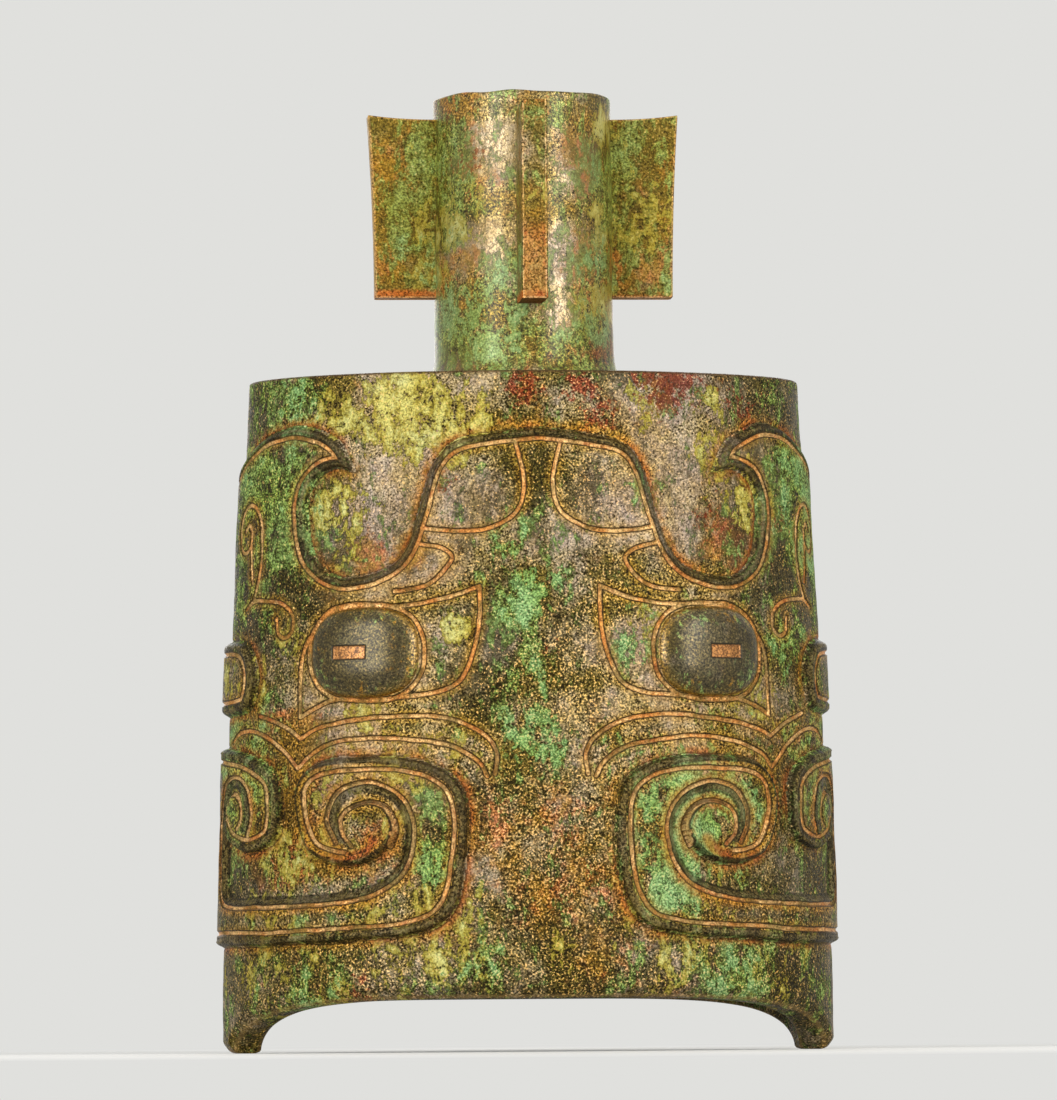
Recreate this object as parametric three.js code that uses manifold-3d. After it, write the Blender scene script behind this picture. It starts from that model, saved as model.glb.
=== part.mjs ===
// Nao bell: a cast bronze bell without a clapper, with a hollow stem, four stem flanges
// and an animal mask in relief on both faces. Millimetres, +Z up, standing on its mouth.
// The origin is on the floor under the middle of the bell. The front face looks along -Y.
import * as THREE from 'three';
import { mergeVertices } from 'three/addons/utils/BufferGeometryUtils.js';
import { TessellateModifier } from 'three/addons/modifiers/TessellateModifier.js';
import Module from 'manifold-3d';

const wasm = await Module();
wasm.setup();

// Driving dimensions of the bell body
const bodyHeight = 320;
const mouthHalfWidth = 143;
const mouthHalfDepth = 90;
const crownHalfWidth = 131.5;
const crownHalfDepth = 76;
const wallThickness = 9;
const cornerThickness = 13;
const crownThickness = 10;
const mouthRise = 25;
const lipHeight = 50;

// Driving dimensions of the stem and its flanges
const stemLength = 136;
const stemRadius = 43;
const stemTopRadius = 42.5;
const boreRadius = 35;
const flareReach = 6.5;
const flareHeight = 14;
const rimRound = 1.2;
const flangeThickness = 12.4;
const flangeReach = 74.6;
const flangeWaistReach = 71.5;
const flangeTipDrop = 7.6;
const flangeRootDrop = 9.8;
const flangeHeight = 88.5;
const frontFlangeExtra = 6;

// Driving dimensions of the relief
const maskHeight = 2.8;
const scrollHeight = 3.2;
const earHeight = 3.4;
const bevelWidth = 3.4;
const eyeLength = 54;
const eyeTall = 43;
const eyeHeight = 7;
const eyeEdge = 1.4;
const pupilLength = 16;
const pupilTall = 6.6;
const pupilDepth = 1.4;
const grooveWidth = 2.6;
const grooveDepth = 1.2;
const rimInset = 2.6;
const eyeRingGap = 1.6;

// Clearance between pieces that touch, overrun of every cut, longest edge of a bent cutter
const seat = 0.3;
const overrun = 1.2;
const cutterEdge = 16;

// Form of the leaf section: 1 would be an ellipse, more draws the side ridges to a point
const sectionPower = 1.16;
// Form of the side profile: how fast the walls draw in towards the crown
const widthPower = 1.5;
const depthPower = 1.2;
// Form of the mouth: the flat foot at each ridge, as a share of the depth, and the arch over it
const footShare = 0.12;
const archPower = 0.66;

// Facets: columns from ridge to ridge, rows from mouth to crown, sides of round pieces
const columns = 20;
const rows = 8;
const roundSides = 40;
const curveSteps = 2;
const flangeCurveSteps = 6;
const flareSteps = 4;
const splitPasses = 12;
const eyeRings = 5;
const eyeBackRings = 2;
const eyeSides = 24;

// Half of one face's girth, measured flat, from the face's centre line to the side ridge
const halfGirth = Math.PI / 4 * Math.hypot(mouthHalfWidth, mouthHalfDepth) * Math.SQRT2;

// A bronze finish with its own colour
function bronze(colour, roughness, metalness) {
  return new THREE.MeshStandardMaterial({ color: colour, roughness, metalness });
}

// Closed solid from a geometry, with its doubled corners merged
function toSolid(geometry) {
  const bare = geometry.clone();
  bare.deleteAttribute('normal');
  bare.deleteAttribute('uv');
  const merged = mergeVertices(bare);
  return new wasm.Manifold(new wasm.Mesh({
    numProp: 3,
    vertProperties: new Float32Array(merged.attributes.position.array),
    triVerts: new Uint32Array(merged.index.array),
  }));
}

function toGeometry(solid) {
  const { vertProperties, triVerts } = solid.getMesh();
  const geometry = new THREE.BufferGeometry();
  geometry.setAttribute('position', new THREE.BufferAttribute(vertProperties, 3));
  geometry.setIndex(new THREE.BufferAttribute(triVerts, 1));
  geometry.computeVertexNormals();
  return geometry;
}

// Height of the mouth's edge over the floor, where bow is 0 on a side ridge and 1 in the middle
function mouthEdge(bow) {
  const along = Math.max(bow - footShare, 0) / (1 - footShare);
  return mouthRise * Math.sin(Math.PI / 2 * Math.pow(along, archPower));
}

// A point of the front face. girth runs from -1 on the left ridge to 1 on the right one,
// height from 0 at the mouth's edge to 1 at the crown, and level is the distance in front
// of the plain wall, or behind it where it is negative.
function wallPoint(girth, height, level) {
  const angle = girth * Math.PI / 2;
  const climb = Math.max(height, 0);
  const halfWidth = mouthHalfWidth + (crownHalfWidth - mouthHalfWidth) * Math.pow(climb, widthPower);
  const halfDepth = mouthHalfDepth + (crownHalfDepth - mouthHalfDepth) * Math.pow(climb, depthPower);
  const sideLevel = level < 0 ? level * cornerThickness / wallThickness : level;
  const turn = Math.cos(angle);
  const bow = Math.sign(turn) * Math.pow(Math.abs(turn), sectionPower);
  const lipShare = lipHeight / bodyHeight;
  const edge = mouthEdge(bow);
  const inLip = edge + (lipHeight - edge) * height / lipShare;
  return new THREE.Vector3(
    (halfWidth + sideLevel) * Math.sin(angle),
    -(halfDepth + level) * bow - seat / 2,
    height < lipShare ? inLip : height * bodyHeight,
  );
}

// Rows stand closer in the lip band, where the arch of the mouth is
function rowHeights() {
  const lipShare = lipHeight / bodyHeight;
  const heights = [0, lipShare / 2];
  for (let row = 0; row <= rows - 2; row += 1) {
    heights.push(lipShare + (1 - lipShare) * row / (rows - 2));
  }
  return heights;
}

// A curved shell over the whole front face between two levels
function faceShell(innerLevel, outerLevel) {
  const heights = rowHeights();
  const positions = [];
  const faces = [];
  const levels = [innerLevel, outerLevel];
  for (const level of levels) {
    for (const height of heights) {
      for (let column = 0; column <= columns; column += 1) {
        const point = wallPoint(-1 + 2 * column / columns, height, level);
        positions.push(point.x, point.y, point.z);
      }
    }
  }
  const at = (side, row, column) => (side * heights.length + row) * (columns + 1) + column;
  const quad = (a, b, c, d) => faces.push(a, b, c, a, c, d);
  const lastRow = heights.length - 1;
  for (let row = 0; row < lastRow; row += 1) {
    for (let column = 0; column < columns; column += 1) {
      quad(at(1, row, column), at(1, row, column + 1), at(1, row + 1, column + 1), at(1, row + 1, column));
      quad(at(0, row, column), at(0, row + 1, column), at(0, row + 1, column + 1), at(0, row, column + 1));
    }
    quad(at(0, row, 0), at(1, row, 0), at(1, row + 1, 0), at(0, row + 1, 0));
    quad(at(1, row, columns), at(0, row, columns), at(0, row + 1, columns), at(1, row + 1, columns));
  }
  for (let column = 0; column < columns; column += 1) {
    const next = column + 1;
    quad(at(0, 0, column), at(0, 0, next), at(1, 0, next), at(1, 0, column));
    quad(at(1, lastRow, column), at(1, lastRow, next), at(0, lastRow, next), at(0, lastRow, column));
  }
  const geometry = new THREE.BufferGeometry();
  geometry.setAttribute('position', new THREE.Float32BufferAttribute(positions, 3));
  geometry.setIndex(faces);
  return toSolid(geometry);
}

// Bends a flat solid round the wall. Its x runs along the girth, its y up the body and its z
// is the level.
function bend(geometry) {
  const flat = geometry.index ? geometry.toNonIndexed() : geometry;
  flat.deleteAttribute('normal');
  flat.deleteAttribute('uv');
  const fine = new TessellateModifier(cutterEdge, splitPasses).modify(flat);
  const position = fine.attributes.position;
  for (let i = 0; i < position.count; i += 1) {
    const girth = position.getX(i) / halfGirth;
    const point = wallPoint(girth, position.getY(i) / bodyHeight, position.getZ(i));
    position.setXYZ(i, point.x, point.y, point.z);
  }
  return toSolid(fine);
}

// Cutter with the top outline of a plateau that stands between two levels. Its sides lean
// outwards to the foot, as a bevel.
function plateauCutter(shape, baseLevel, topLevel) {
  const reach = topLevel - baseLevel + overrun;
  const geometry = new THREE.ExtrudeGeometry(shape, {
    depth: overrun,
    curveSegments: curveSteps,
    bevelEnabled: true,
    bevelSegments: 1,
    bevelThickness: reach,
    bevelSize: bevelWidth,
  });
  geometry.translate(0, 0, baseLevel - overrun);
  return bend(geometry);
}

// Cutter with straight sides
function straightCutter(shape, baseLevel, topLevel) {
  const geometry = new THREE.ExtrudeGeometry(shape, {
    depth: topLevel - baseLevel,
    curveSegments: curveSteps,
    bevelEnabled: false,
  });
  geometry.translate(0, 0, baseLevel);
  return bend(geometry);
}

// Point of an outline from its shares of the half girth and of the body height
function flatPoint([girthShare, heightShare], side = 1) {
  return new THREE.Vector2(side * girthShare * halfGirth, heightShare * bodyHeight);
}

// Closed outline from runs of shares: each run is one smooth curve, and runs meet in corners
function outline(runs, side = 1) {
  const shape = new THREE.Shape();
  const start = flatPoint(runs[0][0], side);
  shape.moveTo(start.x, start.y);
  for (const run of runs) {
    shape.splineThru(run.slice(1).map((share) => flatPoint(share, side)));
  }
  return shape;
}

// Mask field: brow, horns, cheeks and muzzle in one raised sheet, down to the mouth
const pastRidgeShare = 1.06;
const eyeCentreShares = [0.393, 0.586];
const eyeSquareness = 2.6;
const browShares = [
  [0, 0.903], [0.115, 0.895], [0.186, 0.883], [0.228, 0.848], [0.256, 0.782], [0.288, 0.728],
  [0.353, 0.696], [0.465, 0.688], [0.560, 0.720], [0.601, 0.791], [0.576, 0.845], [0.510, 0.869],
  [0.458, 0.870],
];
const hornShares = [
  [0.458, 0.870], [0.498, 0.891], [0.592, 0.914], [0.757, 0.901], [pastRidgeShare, 0.844],
];

// Lines engraved in the mask field. Each is mirrored about the centre line.
const engravedShares = {
  foreheadLobe: [
    [0.049, 0.892], [0.033, 0.846], [0.034, 0.815], [0.049, 0.790], [0.083, 0.773], [0.128, 0.763],
    [0.200, 0.764], [0.252, 0.769],
  ],
  eyeTop: [
    [0.130, 0.681], [0.196, 0.665], [0.290, 0.655], [0.430, 0.654], [0.487, 0.643], [0.530, 0.621],
    [0.560, 0.593], [0.572, 0.547], [0.572, 0.494],
  ],
  eyeFoot: [
    [0.572, 0.494], [0.530, 0.507], [0.467, 0.517], [0.372, 0.517], [0.232, 0.525], [0.180, 0.538],
    [0.155, 0.562], [0.138, 0.598], [0.131, 0.636], [0.130, 0.681],
  ],
  upperLip: [
    [0.572, 0.461], [0.518, 0.476], [0.440, 0.485], [0.320, 0.492], [0.230, 0.491], [0.167, 0.481],
    [0.117, 0.461], [0.094, 0.436], [0.097, 0.405],
  ],
  upperLipEnd: [[0.572, 0.461], [0.633, 0.481], [0.729, 0.498]],
  lowerLip: [
    [0.574, 0.417], [0.538, 0.436], [0.462, 0.455], [0.364, 0.462], [0.274, 0.457], [0.186, 0.446],
    [0.134, 0.424], [0.114, 0.402],
  ],
  lowerLipEnd: [[0.574, 0.417], [0.644, 0.450], [0.740, 0.474], [0.832, 0.475], [0.900, 0.462]],
};

// Cutter for a groove of even width beside a smooth curve, with its middle at an inset from it
function grooveCutter(shares, side, inset, topLevel) {
  const curve = new THREE.SplineCurve(shares.map((share) => flatPoint(share, side)));
  const steps = shares.length - 1;
  const nearEdge = [];
  const farEdge = [];
  for (let i = 0; i <= steps; i += 1) {
    const point = curve.getPoint(i / steps);
    const tangent = curve.getTangent(i / steps);
    const across = new THREE.Vector2(tangent.y, -tangent.x).multiplyScalar(side);
    nearEdge.push(point.clone().addScaledVector(across, inset - grooveWidth / 2));
    farEdge.unshift(point.clone().addScaledVector(across, inset + grooveWidth / 2));
  }
  const shape = new THREE.Shape([...nearEdge, ...farEdge]);
  return straightCutter(shape, topLevel - grooveDepth, topLevel + overrun);
}

// Point on the squared oval of an eyeball, a clearance outside its edge
function eyeEdgePoint(centre, turn, reach, clearance) {
  const cos = Math.cos(turn);
  const sin = Math.sin(turn);
  const squared = Math.pow(Math.abs(cos), eyeSquareness) + Math.pow(Math.abs(sin), eyeSquareness);
  const stretch = reach / Math.pow(squared, 1 / eyeSquareness);
  return new THREE.Vector2(
    centre.x + stretch * cos * (eyeLength / 2 + clearance),
    centre.y + stretch * sin * (eyeTall / 2 + clearance),
  );
}

function eyeRingCutter(side, topLevel) {
  const centre = flatPoint(eyeCentreShares, side);
  const ring = (clearance) => Array.from({ length: eyeSides }, (_, step) => (
    eyeEdgePoint(centre, 2 * Math.PI * step / eyeSides, 1, clearance)
  ));
  const shape = new THREE.Shape(ring(eyeRingGap + grooveWidth / 2));
  shape.holes.push(new THREE.Path(ring(eyeRingGap - grooveWidth / 2)));
  return straightCutter(shape, topLevel - grooveDepth, topLevel + overrun);
}

function maskField() {
  const shape = new THREE.Shape();
  const top = flatPoint(browShares[0]);
  shape.moveTo(top.x, top.y);
  shape.splineThru(browShares.slice(1).map((share) => flatPoint(share)));
  shape.splineThru(hornShares.slice(1).map((share) => flatPoint(share)));
  const low = -lipHeight / 2;
  shape.lineTo(pastRidgeShare * halfGirth, low);
  shape.lineTo(-pastRidgeShare * halfGirth, low);
  const mirrored = (shares) => [...shares].reverse().map((share) => flatPoint(share, -1));
  const hornStart = mirrored(hornShares)[0];
  shape.lineTo(hornStart.x, hornStart.y);
  shape.splineThru(mirrored(hornShares).slice(1));
  shape.splineThru(mirrored(browShares).slice(1));
  const topLevel = seat + maskHeight;
  const grooves = [];
  for (const side of [-1, 1]) {
    grooves.push(eyeRingCutter(side, topLevel));
    for (const shares of [browShares, hornShares]) {
      grooves.push(grooveCutter(shares, side, rimInset, topLevel));
    }
    for (const shares of Object.values(engravedShares)) {
      grooves.push(grooveCutter(shares, side, 0, topLevel));
    }
  }
  const sheet = faceShell(seat, topLevel).intersect(plateauCutter(shape, seat, topLevel));
  return sheet.subtract(wasm.Manifold.union(grooves));
}

// Jaw scroll: a high flat band that runs from the side ridge along the lip, round the jaw
// and into a curled head, with a second smaller head beside the ridge
const jawBandShares = [
  [pastRidgeShare, 0.169], [0.684, 0.168], [0.402, 0.175], [0.248, 0.187], [0.188, 0.230], [0.170, 0.310],
  [0.184, 0.383], [0.233, 0.411], [0.385, 0.424], [0.505, 0.414], [0.556, 0.374], [0.547, 0.330],
  [0.505, 0.294], [0.430, 0.283], [0.372, 0.287], [0.334, 0.304],
];
const jawCurlShares = [
  [0.334, 0.304], [0.314, 0.330], [0.338, 0.358], [0.385, 0.365], [0.428, 0.352], [0.438, 0.329],
  [0.418, 0.306],
];
const jawChannelShares = [
  [0.418, 0.306], [0.458, 0.314], [0.471, 0.345], [0.445, 0.381], [0.383, 0.396], [0.315, 0.384],
  [0.269, 0.347], [0.268, 0.295], [0.312, 0.250], [0.420, 0.236], [0.640, 0.232], [0.880, 0.232],
  [0.950, 0.254], [0.940, 0.312],
];
const sideHeadShares = [
  [0.940, 0.312], [0.840, 0.311], [0.708, 0.308], [0.655, 0.332], [0.643, 0.375], [0.684, 0.418],
  [0.786, 0.439], [pastRidgeShare, 0.449],
];

function jawScroll(side) {
  const baseLevel = seat + maskHeight + seat;
  const topLevel = baseLevel + scrollHeight;
  const shape = outline([jawBandShares, jawCurlShares, jawChannelShares, sideHeadShares], side);
  return faceShell(baseLevel, topLevel).intersect(plateauCutter(shape, baseLevel, topLevel));
}

// Ear: a lump over the side ridge, round at its top and flat underneath
const earShares = [
  [pastRidgeShare, 0.601], [0.905, 0.601], [0.812, 0.592], [0.762, 0.572], [0.748, 0.548],
  [0.766, 0.528], [0.806, 0.518], [pastRidgeShare, 0.511],
];

function ear(side) {
  const baseLevel = seat + maskHeight + seat;
  const topLevel = baseLevel + earHeight;
  const shape = outline([earShares], side);
  return faceShell(baseLevel, topLevel).intersect(plateauCutter(shape, baseLevel, topLevel));
}

// Eyeball: a domed pad with a squared outline and a shallow slot for its pupil
const pupilShiftShare = 0.022;

function eyeball(side) {
  const baseLevel = seat + maskHeight + seat;
  const centre = flatPoint(eyeCentreShares, side);
  const positions = [];
  const faces = [];
  const place = (reach, turn, level) => {
    const edge = eyeEdgePoint(centre, turn, reach, 0);
    const point = wallPoint(edge.x / halfGirth, edge.y / bodyHeight, level);
    positions.push(point.x, point.y, point.z);
  };
  const crownLevel = baseLevel + eyeHeight;
  for (let ring = 0; ring <= eyeRings; ring += 1) {
    const reach = Math.sin(Math.PI / 2 * ring / eyeRings);
    const dome = eyeEdge + (eyeHeight - eyeEdge) * Math.sqrt(1 - reach * reach);
    for (let step = 0; step < (ring ? eyeSides : 1); step += 1) {
      place(reach, 2 * Math.PI * step / eyeSides, baseLevel + dome);
    }
  }
  for (let ring = 0; ring <= eyeBackRings; ring += 1) {
    for (let step = 0; step < (ring ? eyeSides : 1); step += 1) {
      place(ring / eyeBackRings, 2 * Math.PI * step / eyeSides, baseLevel);
    }
  }
  const backStart = 1 + eyeRings * eyeSides;
  const top = (ring, step) => 1 + (ring - 1) * eyeSides + step % eyeSides;
  const low = (ring, step) => backStart + top(ring, step);
  for (let step = 0; step < eyeSides; step += 1) {
    faces.push(0, top(1, step), top(1, step + 1));
    faces.push(backStart, low(1, step + 1), low(1, step));
    for (let ring = 1; ring < eyeRings; ring += 1) {
      faces.push(top(ring, step), top(ring + 1, step), top(ring + 1, step + 1));
      faces.push(top(ring, step), top(ring + 1, step + 1), top(ring, step + 1));
    }
    for (let ring = 1; ring < eyeBackRings; ring += 1) {
      faces.push(low(ring, step), low(ring + 1, step + 1), low(ring + 1, step));
      faces.push(low(ring, step), low(ring, step + 1), low(ring + 1, step + 1));
    }
    faces.push(low(eyeBackRings, step), low(eyeBackRings, step + 1), top(eyeRings, step + 1));
    faces.push(low(eyeBackRings, step), top(eyeRings, step + 1), top(eyeRings, step));
  }
  const geometry = new THREE.BufferGeometry();
  geometry.setAttribute('position', new THREE.Float32BufferAttribute(positions, 3));
  geometry.setIndex(faces);
  const pupil = new THREE.Shape();
  const pupilX = centre.x + side * pupilShiftShare * halfGirth;
  pupil.moveTo(pupilX - pupilLength / 2, centre.y - pupilTall / 2);
  pupil.lineTo(pupilX + pupilLength / 2, centre.y - pupilTall / 2);
  pupil.lineTo(pupilX + pupilLength / 2, centre.y + pupilTall / 2);
  pupil.lineTo(pupilX - pupilLength / 2, centre.y + pupilTall / 2);
  pupil.closePath();
  return toSolid(geometry).subtract(straightCutter(pupil, crownLevel - pupilDepth, crownLevel + overrun));
}

// Crown: the flat top, let in between the walls, with the opening into the stem
function crownPlate() {
  const loopSides = 2 * columns;
  const positions = [];
  const faces = [];
  const heights = [1 - crownThickness / bodyHeight, 1];
  for (const height of heights) {
    for (let i = 0; i < loopSides; i += 1) {
      const back = i >= columns;
      const point = wallPoint(-1 + 2 * (i % columns) / columns, height, -wallThickness - seat);
      positions.push(back ? -point.x : point.x, back ? -point.y : point.y, point.z);
    }
  }
  positions.push(0, 0, bodyHeight - crownThickness, 0, 0, bodyHeight);
  const lowCentre = 2 * loopSides;
  for (let i = 0; i < loopSides; i += 1) {
    const next = (i + 1) % loopSides;
    faces.push(i, next, loopSides + next, i, loopSides + next, loopSides + i);
    faces.push(lowCentre, next, i);
    faces.push(lowCentre + 1, loopSides + i, loopSides + next);
  }
  const geometry = new THREE.BufferGeometry();
  geometry.setAttribute('position', new THREE.Float32BufferAttribute(positions, 3));
  geometry.setIndex(faces);
  const bore = new THREE.CylinderGeometry(boreRadius, boreRadius, crownThickness + 2 * overrun, roundSides);
  bore.rotateX(Math.PI / 2);
  bore.translate(0, 0, bodyHeight - crownThickness / 2);
  return toSolid(geometry).subtract(toSolid(bore));
}

// Outside of the stem from foot to rim, as radius and height over the crown
function stemOutside(clearance) {
  const points = [];
  for (let i = 0; i <= flareSteps; i += 1) {
    const turn = Math.PI / 2 * i / flareSteps;
    points.push(new THREE.Vector2(
      stemRadius + flareReach * (1 - Math.sin(turn)) + clearance,
      seat + flareHeight * (1 - Math.cos(turn)),
    ));
  }
  points.push(new THREE.Vector2(stemTopRadius + clearance, stemLength - rimRound));
  points.push(new THREE.Vector2(stemTopRadius + clearance - rimRound, stemLength));
  return points;
}

// Turned solid from a profile of radius and height over the crown
function turned(profile) {
  const geometry = new THREE.LatheGeometry(profile, roundSides);
  geometry.rotateX(Math.PI / 2);
  geometry.translate(0, 0, bodyHeight);
  return toSolid(geometry);
}

function stemTube() {
  const outside = stemOutside(0);
  const inside = [new THREE.Vector2(boreRadius, stemLength), new THREE.Vector2(boreRadius, seat)];
  return turned([...outside, ...inside, outside[0]]);
}

// Stem with its hollow filled, larger by the seating gap, to cut the flange roots
function stemSeatCutter() {
  const outside = stemOutside(seat);
  const top = new THREE.Vector2(0, stemLength);
  const foot = new THREE.Vector2(0, seat);
  return turned([foot, ...outside, top]);
}

// Flange: an upright fin whose outer edge and top edge are slightly hollow
function stemFlange(extraLength) {
  const rim = bodyHeight + stemLength;
  const tip = rim - flangeTipDrop;
  const root = rim - flangeRootDrop;
  const low = tip - flangeHeight - extraLength;
  const insideRadius = (boreRadius + stemRadius) / 2;
  const waist = tip - flangeHeight / 2;
  const shape = new THREE.Shape();
  shape.moveTo(insideRadius, low);
  shape.lineTo(flangeWaistReach, low);
  shape.lineTo(flangeWaistReach, waist);
  shape.quadraticCurveTo(flangeWaistReach, (waist + tip) / 2, flangeReach, tip);
  shape.quadraticCurveTo((flangeReach + stemRadius) / 2, root, insideRadius, root);
  const geometry = new THREE.ExtrudeGeometry(shape, {
    depth: flangeThickness,
    bevelEnabled: false,
    curveSegments: flangeCurveSteps,
  });
  geometry.rotateX(Math.PI / 2);
  geometry.translate(0, flangeThickness / 2, 0);
  return toSolid(geometry).subtract(stemSeatCutter());
}

const bell = new THREE.Group();

function addPiece(parent, name, solid, material) {
  const mesh = new THREE.Mesh(toGeometry(solid), material);
  mesh.name = name;
  parent.add(mesh);
}

const wallBronze = () => bronze(0x6d7149, 0.72, 0.45);
const maskBronze = () => bronze(0x5d6a45, 0.7, 0.45);
const scrollBronze = () => bronze(0x5a7a55, 0.7, 0.45);
const eyeBronze = () => bronze(0x4a4238, 0.5, 0.65);
const stemBronze = () => bronze(0x7d7d55, 0.62, 0.5);
const flangeBronze = () => bronze(0x86763f, 0.7, 0.45);

addPiece(bell, 'crown_plate', crownPlate(), wallBronze());
addPiece(bell, 'stem_tube', stemTube(), stemBronze());

const flanges = [
  ['right_flange', 0, 0],
  ['back_flange', Math.PI / 2, frontFlangeExtra],
  ['left_flange', Math.PI, 0],
  ['front_flange', -Math.PI / 2, frontFlangeExtra],
];
for (const [name, turn, extraLength] of flanges) {
  const place = new THREE.Group();
  place.rotation.z = turn;
  addPiece(place, name, stemFlange(extraLength), flangeBronze());
  bell.add(place);
}

// Both faces carry the same wall and mask. Left is the -X side of the bell on both.
for (const face of ['front', 'back']) {
  const half = new THREE.Group();
  const isBack = face === 'back';
  half.rotation.z = isBack ? Math.PI : 0;
  addPiece(half, `${face}_wall`, faceShell(-wallThickness, 0), wallBronze());
  addPiece(half, `${face}_mask_field`, maskField(), maskBronze());
  for (const side of ['left', 'right']) {
    const sign = (side === 'right') === isBack ? -1 : 1;
    addPiece(half, `${face}_${side}_eye`, eyeball(sign), eyeBronze());
    addPiece(half, `${face}_${side}_jaw_scroll`, jawScroll(sign), scrollBronze());
    addPiece(half, `${face}_${side}_ear`, ear(sign), maskBronze());
  }
  bell.add(half);
}

export default bell;
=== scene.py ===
# Bronze nao bell: the looks of its cast surfaces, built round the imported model. Metres, +Z up,
# standing on its mouth, with the front face along -Y. Left is the -X side on both faces.
import math

import bpy
import numpy as np
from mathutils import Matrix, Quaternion, Vector


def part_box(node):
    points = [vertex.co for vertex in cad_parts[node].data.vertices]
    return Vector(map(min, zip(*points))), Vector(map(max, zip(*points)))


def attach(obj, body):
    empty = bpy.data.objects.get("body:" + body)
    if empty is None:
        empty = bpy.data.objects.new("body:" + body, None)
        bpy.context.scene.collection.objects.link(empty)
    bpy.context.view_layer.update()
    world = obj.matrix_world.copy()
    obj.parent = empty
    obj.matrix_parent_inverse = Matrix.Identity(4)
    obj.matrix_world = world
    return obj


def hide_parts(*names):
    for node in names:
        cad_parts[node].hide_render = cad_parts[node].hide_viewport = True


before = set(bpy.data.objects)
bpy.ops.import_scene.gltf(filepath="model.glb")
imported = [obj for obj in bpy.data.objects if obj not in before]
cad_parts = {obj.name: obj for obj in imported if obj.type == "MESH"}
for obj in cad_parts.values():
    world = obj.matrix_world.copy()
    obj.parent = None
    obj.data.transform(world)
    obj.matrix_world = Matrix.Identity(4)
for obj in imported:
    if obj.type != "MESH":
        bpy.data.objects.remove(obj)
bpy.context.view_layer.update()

millimetre = 0.001

# Camera: a long lens level with the bell's mouth, turned a little to its left and tilted up to
# take in the stem.
camera_distance = 3.86
camera_azimuth = math.radians(-4.5)
camera_roll = math.radians(0.45)
lens_height = 0.015
aim = Vector((0.0015, 0, 0.2395))
picture_height = 1100
focal_pixels = 8075
sensor_size = 36

camera_data = bpy.data.cameras.new("camera")
camera_data.sensor_width = sensor_size
camera_data.lens = focal_pixels * sensor_size / picture_height
camera_data.clip_end = 60
camera = bpy.data.objects.new("camera", camera_data)
bpy.context.scene.collection.objects.link(camera)
bpy.context.scene.camera = camera
camera.location = (
    aim.x + camera_distance * math.sin(camera_azimuth),
    aim.y - camera_distance * math.cos(camera_azimuth),
    lens_height,
)
sight = (aim - camera.location).normalized()
camera.rotation_mode = "QUATERNION"
camera.rotation_quaternion = Quaternion(sight, camera_roll) @ sight.to_track_quat("-Z", "Y")


# Shader arithmetic: a field is a value, a colour or a vector that varies over a surface. An
# expression on values adds its Math nodes to the shader that the field belongs to.
class Field:
    def __init__(self, shader, socket):
        self.shader = shader
        self.socket = socket

    def math(self, operation, first, second):
        return self.shader.node("ShaderNodeMath", {"operation": operation}, {0: first, 1: second})

    def __add__(self, other):
        return self.math("ADD", self, other)

    __radd__ = __add__

    def __sub__(self, other):
        return self.math("SUBTRACT", self, other)

    def __rsub__(self, other):
        return self.math("SUBTRACT", other, self)

    def __mul__(self, other):
        return self.math("MULTIPLY", self, other)

    __rmul__ = __mul__

    def larger(self, other):
        return self.math("MAXIMUM", self, other)

    def soft(self, low, high):
        """0 where the value is below low, 1 above high and smooth between; low may be the larger."""
        return self.shader.node(
            "ShaderNodeMapRange",
            {"interpolation_type": "SMOOTHSTEP"},
            {"Value": self, "From Min": low, "From Max": high},
        )


# A shader is the nodes of one material or of the world
class Shader:
    def __init__(self, tree):
        self.tree = tree

    def node(self, kind, settings, inputs, output=0):
        made = self.tree.nodes.new(kind)
        for setting, value in settings.items():
            setattr(made, setting, value)
        for key, value in inputs.items():
            self.feed(made.inputs[key], value)
        return Field(self, made.outputs[output])

    def feed(self, socket, value):
        if isinstance(value, Field):
            self.tree.links.new(value.socket, socket)
        else:
            socket.default_value = value

    def mix(self, share, first, second):
        """Blend of two colours, through the Mix node's colour sockets 6 and 7 to its output 2."""
        return self.node("ShaderNodeMix", {"data_type": "RGBA"}, {0: share, 6: first, 7: second}, 2)

    def meets_background(self):
        """1 for the camera's rays and for those off metal or through glass, or else 0."""
        kinds = ("Is Camera Ray", "Is Glossy Ray", "Is Transmission Ray")
        camera_ray, glossy_ray, glass_ray = (
            self.node("ShaderNodeLightPath", {}, {}, kind) for kind in kinds
        )
        return camera_ray.larger(glossy_ray).larger(glass_ray)


class Finish(Shader):
    """One material on Blender's surface shader."""

    def __init__(self, name):
        self.material = bpy.data.materials.new(name)
        self.material.use_nodes = True
        super().__init__(self.material.node_tree)
        self.surface = self.tree.nodes["Principled BSDF"]

    def dress(self, looks):
        """Give the surface these values or fields, by the names of its sockets."""
        for name, value in looks.items():
            self.feed(self.surface.inputs[name], value)


def colour(red, green, blue):
    """A colour as it looks, 0 to 255."""
    linear = [((c / 255 + 0.055) / 1.055) ** 2.4 for c in (red, green, blue)]
    return (*linear, 1)


# Stage: a pale floor that fades into a pale studio background, so that no horizon shows, and
# four large soft lamps: one in front at each side, one above and one behind.
stage_colour = colour(224, 224, 221)
unlit = colour(0, 0, 0)
fill_colour = colour(238, 236, 232)
fill_strength = 0.22
floor_radius = 14
floor_corners = 96
floor_roughness = 0.85
floor_lift = 0.2
fade_start = 0.25
fade_end = 0.7

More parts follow.
